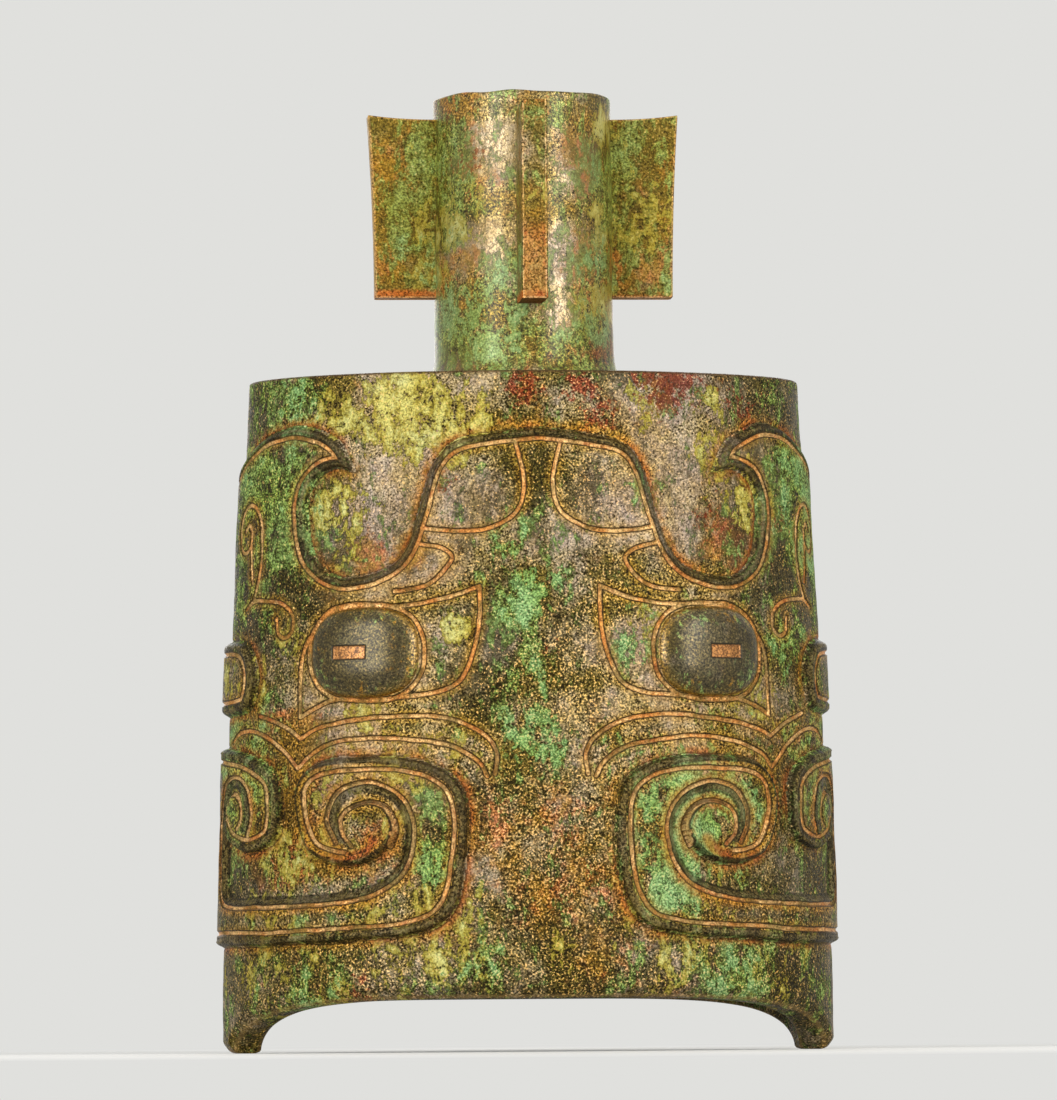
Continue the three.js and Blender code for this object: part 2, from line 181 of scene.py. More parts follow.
world = bpy.data.worlds.new("studio")
bpy.context.scene.world = world
world.use_nodes = True
studio = Shader(world.node_tree)
backdrop = world.node_tree.nodes["Background"]
backdrop.inputs["Color"].default_value = stage_colour
backdrop.inputs["Strength"].default_value = 1.0
fill = studio.node("ShaderNodeBackground", {}, {"Color": fill_colour, "Strength": fill_strength})
studio_light = studio.node(
    "ShaderNodeMixShader",
    {},
    {"Fac": studio.meets_background(), 1: fill, 2: Field(studio, backdrop.outputs["Background"])},
)
studio.feed(world.node_tree.nodes["World Output"].inputs["Surface"], studio_light)

bpy.ops.mesh.primitive_circle_add(vertices=floor_corners, radius=floor_radius, fill_type="NGON")
floor = bpy.context.object
floor.name = "floor"
floor_finish = Finish("floor")
floor_place = floor_finish.node("ShaderNodeTexCoord", {}, {}, "Object")
distance = floor_finish.node("ShaderNodeVectorMath", {"operation": "LENGTH"}, {0: floor_place}, "Value")
seen = floor_finish.meets_background()
floor_finish.dress({
    "Base Color": stage_colour,
    "Roughness": floor_roughness,
    "Emission Color": floor_finish.mix(seen, unlit, stage_colour),
    "Emission Strength": floor_lift,
})
glow = floor_finish.node("ShaderNodeEmission", {}, {"Color": stage_colour, "Strength": 1.0})
floor_look = floor_finish.node(
    "ShaderNodeMixShader",
    {},
    {
        "Fac": distance.soft(fade_start, fade_end) * seen,
        1: Field(floor_finish, floor_finish.surface.outputs["BSDF"]),
        2: glow,
    },
)
floor_finish.feed(floor_finish.tree.nodes["Material Output"].inputs["Surface"], floor_look)
floor.data.materials.append(floor_finish.material)

lamp_aim = Vector((0, 0, 0.25))
warm_white = (1, 0.98, 0.95)


def soft_lamp(name, place, size, watts, tint=(1, 1, 1)):
    """Softbox turned to the bell. The size is its width and height."""
    data = bpy.data.lights.new(name, "AREA")
    data.shape = "RECTANGLE"
    data.size, data.size_y = size
    data.energy = watts
    data.color = tint
    lamp = bpy.data.objects.new(name, data)
    bpy.context.scene.collection.objects.link(lamp)
    lamp.location = place
    lamp.rotation_euler = (lamp_aim - lamp.location).to_track_quat("-Z", "Y").to_euler()


soft_lamp("left_softbox", place=(-1.5, -1.75, 0.8), size=(0.7, 1.8), watts=40)
soft_lamp("right_softbox", place=(1.45, -1.8, 0.8), size=(0.7, 1.8), watts=38, tint=warm_white)
soft_lamp("top_softbox", place=(0, -0.9, 2.0), size=(1.6, 1.0), watts=8)
soft_lamp("back_softbox", place=(0, 2.2, 0.9), size=(1.8, 1.2), watts=16)

# Cast shell and its mask. The real bell is one pour of leaded bronze: two curved walls that
# meet in a ridge at each side, where the mould halves met. The animal mask was cut into the
# moulds, so every rim, groove and scroll belongs to the wall. Each quarter is one skin.
body_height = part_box("crown_plate")[1].z
mouth_half_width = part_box("front_wall")[1].x
mouth_half_depth = 0.090
crown_half_width = 0.1315
crown_half_depth = 0.076
wall_thickness = 0.009
corner_thickness = 0.013
mouth_rise = 0.025
lip_height = 0.050
lip_share = lip_height / body_height
section_power = 1.16
width_power = 1.5
depth_power = 1.2
foot_share = 0.12
arch_power = 0.66


def mouth_edge(bow):
    """Height of the arched mouth, which is 0 on the feet at the two sides."""
    along = np.maximum(bow - foot_share, 0) / (1 - foot_share)
    return mouth_rise * np.sin(math.pi / 2 * along**arch_power)


def wall_point(girth, height, level):
    """Place on the front wall. Girth is 0 on the centre line and 1 on the side ridge, height 0
    at the mouth and 1 at the crown, and level the metres in front of the plain wall."""
    angle = girth * math.pi / 2
    climb = np.maximum(height, 0)
    half_width = mouth_half_width + (crown_half_width - mouth_half_width) * climb**width_power
    half_depth = mouth_half_depth + (crown_half_depth - mouth_half_depth) * climb**depth_power
    side_level = np.where(level < 0, level * corner_thickness / wall_thickness, level)
    turn = np.cos(angle)
    bow = np.sign(turn) * np.abs(turn) ** section_power
    edge = mouth_edge(bow)
    in_lip = edge + (lip_height - edge) * height / lip_share
    across = (half_width + side_level) * np.sin(angle)
    up = np.where(height < lip_share, in_lip, height * body_height)
    return np.stack(np.broadcast_arrays(across, -(half_depth + level) * bow, up), -1)


# The relief is drawn on the wall laid flat: along the girth and up the body, both in metres.
girth_steps = 600
past_ridge = 1.1
middle_height = 0.5
girth_samples = np.linspace(0, past_ridge, girth_steps)
section = wall_point(girth_samples, np.full(girth_steps, middle_height), np.zeros(girth_steps))
steps = np.linalg.norm(np.diff(section, axis=0), axis=1)
arc_samples = np.concatenate([[0], np.cumsum(steps)])
quarter_girth = np.interp(1, girth_samples, arc_samples)


def flat(shares):
    girth, height = np.array(shares).T
    return np.stack([np.interp(girth, girth_samples, arc_samples), height * body_height], -1)


line_steps = 5


def smooth_line(shares):
    """Smooth curve through given points, which are shares of the girth and the height. It takes
    line_steps steps from each point to the next."""
    points = flat(shares)
    points = np.vstack([2 * points[0] - points[1], points, 2 * points[-1] - points[-2]])
    line = []
    for a, b, c, d in zip(points, points[1:], points[2:], points[3:]):
        for t in np.arange(line_steps) / line_steps:
            line.append(
                0.5 * (2 * b + (c - a) * t + (2 * a - 5 * b + 4 * c - d) * t**2
                       + (3 * b - a - 3 * c + d) * t**3)
            )
    return np.array([*line, points[-2]])


past_ridge_share = 1.06
brow_shares = [
    (0, 0.915), (0.118, 0.906), (0.198, 0.892), (0.245, 0.852), (0.275, 0.785), (0.305, 0.735),
    (0.360, 0.706), (0.460, 0.698), (0.545, 0.727), (0.583, 0.790), (0.560, 0.838), (0.500, 0.858),
    (0.433, 0.852),
]
horn_shares = [
    (0.433, 0.852), (0.485, 0.900), (0.590, 0.925), (0.700, 0.921), (0.850, 0.897),
    (past_ridge_share, 0.855),
]
jaw_shares = [
    (past_ridge_share, 0.158), (0.684, 0.157), (0.443, 0.163), (0.300, 0.168), (0.215, 0.183),
    (0.173, 0.220), (0.156, 0.275), (0.152, 0.340), (0.167, 0.388), (0.210, 0.416), (0.286, 0.431),
    (0.385, 0.435), (0.480, 0.430), (0.545, 0.412), (0.574, 0.378), (0.566, 0.332), (0.530, 0.293),
    (0.465, 0.276), (0.408, 0.273), (0.359, 0.281), (0.325, 0.300),
]
jaw_curl_shares = [
    (0.325, 0.300), (0.310, 0.322), (0.314, 0.341), (0.335, 0.359), (0.378, 0.366), (0.418, 0.360),
    (0.440, 0.343), (0.436, 0.320), (0.410, 0.301),
]
jaw_channel_shares = [
    (0.450, 0.306), (0.473, 0.336), (0.464, 0.366), (0.435, 0.387), (0.383, 0.396), (0.330, 0.388),
    (0.290, 0.370), (0.268, 0.342), (0.266, 0.308), (0.284, 0.268), (0.325, 0.240), (0.395, 0.225),
    (0.520, 0.217), (0.700, 0.214), (0.860, 0.217), (0.925, 0.232), (0.942, 0.262),
]
side_channel_shares = [
    (0.942, 0.262), (0.952, 0.300), (0.950, 0.345), (0.925, 0.385), (0.870, 0.405), (0.800, 0.406),
    (0.748, 0.388), (0.727, 0.352), (0.745, 0.320),
]
side_curl_shares = [
    (0.800, 0.332), (0.780, 0.345), (0.784, 0.368), (0.822, 0.382), (0.872, 0.378), (0.905, 0.356),
    (0.912, 0.330),
]
side_head_shares = [
    (0.912, 0.330), (0.858, 0.310), (0.761, 0.296), (0.681, 0.301), (0.633, 0.320), (0.623, 0.361),
    (0.643, 0.408), (0.729, 0.436), (0.902, 0.451), (past_ridge_share, 0.455),
]
ear_shares = [
    (past_ridge_share, 0.612), (0.850, 0.610), (0.775, 0.596), (0.735, 0.560), (0.750, 0.520),
    (0.800, 0.504), (past_ridge_share, 0.499),
]
jaw_arm_shares = [
    (0.535, 0.375), (0.529, 0.340), (0.510, 0.310), (0.472, 0.291), (0.431, 0.286), (0.392, 0.292),
    (0.366, 0.306), (0.356, 0.323), (0.366, 0.338), (0.390, 0.346),
]
jaw_knob_shares = (0.408, 0.322)

# Engraved lines of the mask, each from one cut of the mould maker's tool
engraved_shares = {
    "forehead_lobe": [
        (0.049, 0.892), (0.033, 0.846), (0.034, 0.815), (0.049, 0.790), (0.083, 0.773),
        (0.128, 0.763), (0.200, 0.764), (0.258, 0.769),
    ],
    "second_curl": [
        (0.262, 0.744), (0.221, 0.739), (0.196, 0.730), (0.190, 0.719), (0.212, 0.699),
        (0.245, 0.684), (0.293, 0.677), (0.320, 0.676),
    ],
    "eye_top": [
        (0.130, 0.681), (0.196, 0.665), (0.290, 0.655), (0.358, 0.656), (0.430, 0.654),
        (0.487, 0.643), (0.530, 0.621), (0.560, 0.593), (0.572, 0.547), (0.572, 0.494),
    ],
    "eye_foot": [
        (0.572, 0.494), (0.530, 0.507), (0.467, 0.517), (0.372, 0.517), (0.311, 0.520),
        (0.232, 0.525), (0.180, 0.538), (0.155, 0.562), (0.138, 0.598), (0.131, 0.636),
        (0.130, 0.681),
    ],
    "upper_lip_inner": [
        (0.572, 0.461), (0.518, 0.476), (0.440, 0.485), (0.320, 0.492), (0.230, 0.491),
        (0.167, 0.481), (0.117, 0.461), (0.094, 0.436), (0.097, 0.405),
    ],
    "upper_lip_outer": [(0.572, 0.461), (0.633, 0.481), (0.729, 0.498)],
    "lower_lip_inner": [
        (0.574, 0.417), (0.538, 0.436), (0.462, 0.455), (0.364, 0.462), (0.274, 0.457),
        (0.186, 0.446), (0.134, 0.424), (0.114, 0.402),
    ],
    "lower_lip_outer": [
        (0.574, 0.417), (0.644, 0.450), (0.740, 0.474), (0.832, 0.475), (0.900, 0.462),
    ],
    "temple_scroll": [
        (0.778, 0.670), (0.748, 0.710), (0.742, 0.750), (0.752, 0.785), (0.785, 0.806),
        (0.825, 0.812), (0.865, 0.802), (0.892, 0.775), (0.880, 0.748), (0.845, 0.742),
        (0.812, 0.752), (0.806, 0.772), (0.828, 0.783), (0.850, 0.774),
    ],
    "temple_tail": [(0.806, 0.752), (0.800, 0.720), (0.790, 0.695)],
    "cheek_curl": [
        (0.829, 0.657), (0.775, 0.668), (0.721, 0.668), (0.657, 0.664), (0.612, 0.648),
        (0.604, 0.624), (0.630, 0.612), (0.660, 0.618), (0.668, 0.640),
    ],
}

mask_height = 0.0031
scroll_height = 0.0035
ear_height = 0.0037
rise_width = 0.0032
mask_rim = 0.0040
scroll_rim = 0.0052
ear_rim = 0.0050
channel_bevel = 0.0052
groove_width = 0.0024
groove_depth = 0.0011
foot_depth = 0.0003
foot_reach, foot_core = 0.0016, 0.0004

# A spiral channel rises to the top of its scroll as it turns. Its spiral is given as the centre
# and the degrees where the channel starts and ends, and its coil as a run of the curve's steps.
jaw_spiral = ((0.390, 0.325), 225, -35)
side_spiral = ((0.811, 0.355), -45, 215)
climb_end = 0.75
jaw_channel_coil = slice(0, 9 * line_steps + 1)
side_channel_coil = slice(2 * line_steps, None)

# The strip inside the scroll's bead widens into a hollow arm, which curls round a small knob.
# Along the curl the bead thins out.
arm_neck = slice(0, 5 * line_steps + 1)
arm_bowl = slice(5 * line_steps, None)
arm_earth_run = slice(line_steps, 6 * line_steps + 2)
arm_width = 0.0080
arm_depth = 0.0011
neck_reach, neck_core = 0.0022, 0.0008
neck_depth_share = 0.6
arm_earth_reach, arm_earth_core = 0.0042, 0.0012
knob_radius = 0.0056
knob_height = 0.0009
beaded_curl = slice(0, 5 * line_steps + 1)
bead_height = 0.0007
bead_full_width = 0.0026
bead_inset = 0.0015
bead_slope = 0.0004
bead_rim = 0.0030
bead_shows = 0.3
bead_end_shares = (0.385, 0.362)
bead_end_low, bead_end_high = 0.002, 0.022
scroll_head_shares = (0.430, 0.325)
scroll_head_reach, scroll_head_core = 0.042, 0.028
scroll_head_narrowing = 0.0024

eye_centre_shares = (0.393, 0.586)
eye_length = 0.054
eye_tall = 0.043
eye_squareness = 2.6
eye_ring_gap = 0.0016
eye_ring_corners = 49
far_away = 1.0


def squared_norm(across, up):
    """How far a place lies from the middle of a squared oval that reaches to 1."""
    return (abs(across) ** eye_squareness + abs(up) ** eye_squareness) ** (1 / eye_squareness)


def eye_ring():
    """Squared oval of the groove round the eyeball on the flat wall."""
    angle = np.linspace(0, 1, eye_ring_corners) * 2 * math.pi
    cos, sin = np.cos(angle), np.sin(angle)
    stretch = 1.0 / squared_norm(cos, sin)
    half_length, half_tall = eye_length / 2 + eye_ring_gap, eye_tall / 2 + eye_ring_gap
    ring = np.stack([stretch * cos * half_length, stretch * sin * half_tall], -1)
    return flat([eye_centre_shares])[0] + ring


def gap_to(places, shares):
    """Distance of every place to one point."""
    return np.hypot(*(places - flat([shares])[0]).T)


def distance_to(places, *lines):
    """Distance of every place to the nearest of these lines."""
    nearest = np.full(len(places), far_away)
    for line in lines:
        for start, end in zip(line, line[1:]):
            along = end - start
            share = ((places - start) @ along / (along @ along)).clip(0, 1)
            offset = places - start - share[:, None] * along
            nearest = np.minimum(nearest, np.hypot(*offset.T))
    return nearest


def inside(places, outline):
    """Which places lie inside a closed outline, by counting the crossings to their right."""
    odd = np.zeros(len(places), bool)
    across, up = places.T
    for start, end in zip(outline, np.roll(outline, -1, axis=0)):
        crosses = (start[1] > up) != (end[1] > up)
        if crosses.any():
            meets = start[0] + (up - start[1]) * (end[0] - start[0]) / (end[1] - start[1])
            odd ^= crosses & (across < meets)
    return odd


def ease(values, low, high):
    """0 up to low, 1 from high on and smooth between; low may be the larger."""
    t = ((values - low) / (high - low)).clip(0, 1)
    return t * t * (3 - 2 * t)


def rise(depth):
    """Share of its full height that a relief has at that depth inside its edge."""
    return 1 - (1 - (depth / rise_width).clip(0, 1)) ** 2


def climb_of_spiral(places, centre_shares, start_turn, end_turn):
    """How far along a spiral channel a place lies: 0 where it starts and 1 where it ends."""
    offset = places - flat([centre_shares])[0]
    turn = np.degrees(np.arctan2(offset[:, 1], offset[:, 0]))
    low, high = sorted((start_turn, end_turn))
    middle = (low + high) / 2
    turn = (turn - middle + 180) % 360 - 180 + middle
    return ease((turn - start_turn) / (end_turn - start_turn), 0.0, climb_end)


def mask_relief(places):
    """Level over the plain wall in metres, and the distances that the patina follows."""
    brow, horn = smooth_line(brow_shares), smooth_line(horn_shares)
    jaw, jaw_curl = smooth_line(jaw_shares), smooth_line(jaw_curl_shares)
    jaw_channel, jaw_arm = smooth_line(jaw_channel_shares), smooth_line(jaw_arm_shares)
    side_channel, side_curl = smooth_line(side_channel_shares), smooth_line(side_curl_shares)
    side_head, ear_line = smooth_line(side_head_shares), smooth_line(ear_shares)
    mask_outline = np.vstack([brow, horn, flat([(past_ridge_share, -1), (0, -1)])])
    scroll_outline = np.vstack([jaw, jaw_curl, jaw_channel, side_channel, side_curl, side_head])
    in_mask = inside(places, mask_outline)
    in_scroll = inside(places, scroll_outline)
    in_ear = inside(places, ear_line)

    mask_gap = distance_to(places, brow, horn)
    scroll_gap = distance_to(places, jaw, side_head)
    curl_gap = distance_to(places, jaw_curl, side_curl)
    channel_gap = distance_to(places, jaw_channel, side_channel)
    ear_gap = distance_to(places, ear_line)

    jaw_climb = climb_of_spiral(places, *jaw_spiral)
    side_climb = climb_of_spiral(places, *side_spiral)
    in_jaw_coil = inside(places, np.vstack([jaw_curl, jaw_channel[jaw_channel_coil]]))
    in_side_coil = inside(places, np.vstack([side_channel[side_channel_coil], side_curl]))
    climb = np.maximum(jaw_climb * in_jaw_coil, side_climb * in_side_coil)
    curl_edge = curl_gap + np.maximum(jaw_climb, side_climb) * rise_width
    scroll_level = np.where(
        in_scroll,
        rise(np.minimum(scroll_gap, curl_edge)),
        np.maximum(climb, ease(channel_gap, channel_bevel, 0) * (scroll_gap > rise_width / 2)),
    )
    level = mask_height * rise(mask_gap) * in_mask
    level += scroll_height * scroll_level * in_mask
    level += ear_height * rise(ear_gap) * in_ear

    arm_gap = distance_to(places, jaw_arm[arm_bowl])
    neck_gap = distance_to(places, jaw_arm[arm_neck])
    earth_gap = distance_to(places, jaw_arm[arm_earth_run])
    in_bowl = ease(arm_gap, arm_width / 2, arm_width / 4)
    in_neck = ease(neck_gap, neck_reach, neck_core) * neck_depth_share
    knob = ease(gap_to(places, jaw_knob_shares), knob_radius, knob_radius / 3)
    hollow = ease(earth_gap, arm_earth_reach, arm_earth_core) * in_scroll * (1 - knob)
    level += (knob_height * knob - arm_depth * np.maximum(in_bowl, in_neck)) * in_scroll

    lines = [smooth_line(shares) for shares in engraved_shares.values()]
    line_gap = distance_to(places, *lines, eye_ring())
    line_gap = np.minimum(line_gap, np.minimum(channel_gap, curl_gap))
    half_groove = groove_width / 2
    clear_of_arm = in_scroll & (arm_gap > arm_width / 2 + groove_width)
    for within, gap, rim in (
        (in_mask & ~in_scroll, mask_gap, mask_rim),
        (clear_of_arm, scroll_gap, scroll_rim),
        (in_ear, ear_gap, ear_rim),
    ):
        line_gap = np.where(within, np.minimum(line_gap, abs(gap - rim - half_groove)), line_gap)
    level -= groove_depth * ease(line_gap, half_groove, half_groove / 4)

    bead_run = ease(gap_to(places, bead_end_shares), bead_end_low, bead_end_high)
    bead_gap = np.minimum(scroll_gap, distance_to(places, jaw_curl[beaded_curl]))
    bead_width = bead_full_width * np.where(scroll_gap <= bead_gap, 1.0, bead_run)
    bead = ease(abs(bead_gap - bead_inset), bead_width / 2 + bead_slope, bead_width / 4) * in_scroll
    level += bead_height * bead * (bead_width > bead_slope)
    at_head = ease(gap_to(places, scroll_head_shares), scroll_head_reach, scroll_head_core)
    head_rim = scroll_rim - scroll_head_narrowing * at_head
    strip = np.full(len(places), far_away)
    low = np.full(len(places), far_away)
    for within, gap, rim in (
        (in_mask, mask_gap, mask_rim),
        (in_scroll & (scroll_gap < scroll_rim), scroll_gap, head_rim),
        (in_scroll & (bead > bead_shows), bead_gap, bead_rim),
        (in_ear, ear_gap, ear_rim),
        (~in_scroll, channel_gap, channel_bevel),
    ):
        strip = np.where(within, np.minimum(strip, abs(gap - rim / 2) - rim / 2), strip)
        low = np.where(within, low, np.minimum(low, gap))
    level -= foot_depth * ease(low, foot_reach, foot_core)
    return level, {"line": line_gap, "strip": strip, "low": low, "arm": hollow}


# The rows of a quarter's skin run up the outside, over the crown's edge, down the inside and
# back under the mouth
columns = 224
lip_rows = 44
relief_rows = 330
shoulder_rows = 22
inner_rows = 24
rim_rows = 5
shoulder_share = 0.935
lip_crowding = 1.25
shoulder_crowding = 1.4
inner_top_share, inner_low_share = 0.999, 0.03
inner_lip_shares = [0.012, 0.005, 0.002, 0.0]
mouth_round = 0.0022
crown_round = 0.0016
relief_start = 0.006

lip_heights = lip_share * np.linspace(0, 1, lip_rows, endpoint=False) ** lip_crowding
relief_heights = np.linspace(lip_share, shoulder_share, relief_rows, endpoint=False)
shoulder_run = np.linspace(1, 0, shoulder_rows) ** shoulder_crowding
shoulder_heights = 1 - (1 - shoulder_share) * shoulder_run
outer_heights = np.concatenate([lip_heights, relief_heights, shoulder_heights])
crown_levels = -np.linspace(crown_round, wall_thickness, rim_rows)[1:]
inner_heights = np.concatenate(
    [np.linspace(inner_top_share, inner_low_share, inner_rows), inner_lip_shares]
)
mouth_levels = np.linspace(mouth_round - wall_thickness, -mouth_round, rim_rows)

loop_heights = np.concatenate(
    [outer_heights, np.ones(len(crown_levels)), inner_heights, np.zeros(rim_rows)]
)
loop_levels = np.concatenate(
    [np.zeros(len(outer_heights)), crown_levels, np.full(len(inner_heights), -wall_thickness),
     mouth_levels]
)
outer_count = len(outer_heights)
outer = np.s_[:outer_count]
inner_start = outer_count + len(crown_levels)
inner = np.s_[inner_start : inner_start + len(inner_heights)]

column_girth = np.interp(np.linspace(0, quarter_girth, columns + 1), arc_samples, girth_samples)
grid_girth, grid_height = np.meshgrid(column_girth, loop_heights)
base_level = np.repeat(loop_levels[:, None], columns + 1, axis=1)
outer_flat = np.stack(
    [np.interp(grid_girth[outer], girth_samples, arc_samples), grid_height[outer] * body_height], -1
)
relief, patina_gaps = mask_relief(outer_flat.reshape(-1, 2))
relief = relief.reshape(outer_count, columns + 1)
gap_rows = {key: values.reshape(outer_count, columns + 1) for key, values in patina_gaps.items()}


def worn_edge(gap, radius):
    """How far a rounded edge falls back at that distance from it."""
    return radius - np.sqrt(np.maximum(radius**2 - np.maximum(radius - gap, 0) ** 2, 0))


# The edges of the mouth and of the crown are rounded by use
edge_gap = wall_point(grid_girth, grid_height, base_level)[..., 2] - mouth_edge(
    np.cos(grid_girth * math.pi / 2).clip(0, 1) ** section_power
)
crown_gap = body_height * (1 - grid_height)
mouth_turn = worn_edge(edge_gap, mouth_round)
crown_turn = worn_edge(crown_gap, crown_round)
started_relief = relief * ease(edge_gap[outer], 0, relief_start)
base_level[outer] += started_relief - mouth_turn[outer] - crown_turn[outer]
base_level[inner] += mouth_turn[inner]

wave_count = 22
shortest_wave, longest_wave = 0.012, 0.060
wave_random = np.random.default_rng(7)
wave_lengths = wave_random.uniform(shortest_wave, longest_wave, wave_count)
wave_turns = wave_random.normal(size=(wave_count, 3))
wave_turns /= np.linalg.norm(wave_turns, axis=1)[:, None]
wave_starts = wave_random.uniform(0, 2 * math.pi, (3, wave_count))


def waves(places, which=0):
    """Slow unevenness of a hand-made surface, from -1 to 1 and mostly near 0."""
    total = np.zeros(places.shape[:-1])
    for length, turn, start in zip(wave_lengths, wave_turns, wave_starts[which]):
        total += np.sin(places @ turn * 2 * math.pi / length + start)
    return total / math.sqrt(wave_count * 2)


# The grid's place in the UV map, with a narrow margin at its right for the two ends
uv_low, uv_high, uv_right = 0.005, 0.995, 0.965
uv_end_places = (0.972, 0.984)
uv_end_width = 0.006


def grid_mesh(name, points, normals=None, flip=False, attributes=None, ring=False, strip_ends=False):
    """Closed mesh from a grid of points. Its rows run round the section and join up at the end.
    The columns join up too in a ring; otherwise each end is closed by one face or a strip."""
    rows, across = points.shape[:2]
    index = np.arange(rows * across).reshape(rows, across)
    if ring:
        index = np.concatenate([index, index[:, :1]], axis=1)
    upper = np.roll(index, -1, axis=0)
    spread = np.stack(
        np.meshgrid(
            np.linspace(uv_low, uv_right, index.shape[1]), np.linspace(uv_low, uv_high, rows + 1)
        ),
        -1,
    )
    cells = np.stack([index[:, :-1], index[:, 1:], upper[:, 1:], upper[:, :-1]], -1)
    faces = cells.reshape(-1, 4).tolist()
    cell_corners = [spread[:-1, :-1], spread[:-1, 1:], spread[1:, 1:], spread[1:, :-1]]
    corners = [np.stack(cell_corners, 2).reshape(-1, 4, 2)]
    half = rows // 2
    for margin, end in zip(uv_end_places, ([] if ring else [index[::-1, 0], index[:, -1]])):
        if strip_ends:
            one, other = end[:half], end[::-1][:half]
            faces += np.stack([one[:-1], one[1:], other[1:], other[:-1]], -1).tolist()
            up = np.linspace(uv_low, uv_high, half)
            near, far = np.full(half, margin), np.full(half, margin + uv_end_width)
            one, other = np.stack([near, up], -1), np.stack([far, up], -1)
            corners.append(np.stack([one[:-1], one[1:], other[1:], other[:-1]], 1))
        else:
            faces.append(end.tolist())
            up = uv_high - (uv_high - uv_low) * abs(np.linspace(-1, 1, rows))
            aside = margin + uv_end_width * (np.arange(rows) < half)
            corners.append(np.stack([aside, up], -1)[None])
    if flip:
        faces = [face[::-1] for face in faces]
        corners = [group[:, ::-1] for group in corners]
    mesh = bpy.data.meshes.new(name)
    mesh.from_pydata(points.reshape(-1, 3).tolist(), [], faces)
    uv_map = mesh.uv_layers.new(name="OFBake")
    uv_map.data.foreach_set("uv", np.concatenate([group.ravel() for group in corners]))
    for key, values in (attributes or {}).items():
        layer = mesh.attributes.new(key, "FLOAT", "POINT")
        layer.data.foreach_set("value", np.ravel(values).astype(np.float32))
    mesh.shade_smooth()
    if normals is not None:
        mesh.normals_split_custom_set_from_vertices(normals.reshape(-1, 3).tolist())
    piece = bpy.data.objects.new(name, mesh)
    bpy.context.scene.collection.objects.link(piece)
    return piece


def grid_normals(points):
    """Normals of a quarter skin. Beyond its first and last columns the next quarter mirrors it."""
    before = points[:, 1] * np.array([-1, 1, 1])
    after = points[:, -2] * np.array([1, -1, 1])
    wide = np.concatenate([before[:, None], points, after[:, None]], axis=1)
    along = wide[:, 2:] - wide[:, :-2]
    up = np.roll(points, -1, axis=0) - np.roll(points, 1, axis=0)
    normal = np.cross(along, up)
    return normal / np.maximum(np.linalg.norm(normal, axis=-1, keepdims=True), 1e-12)


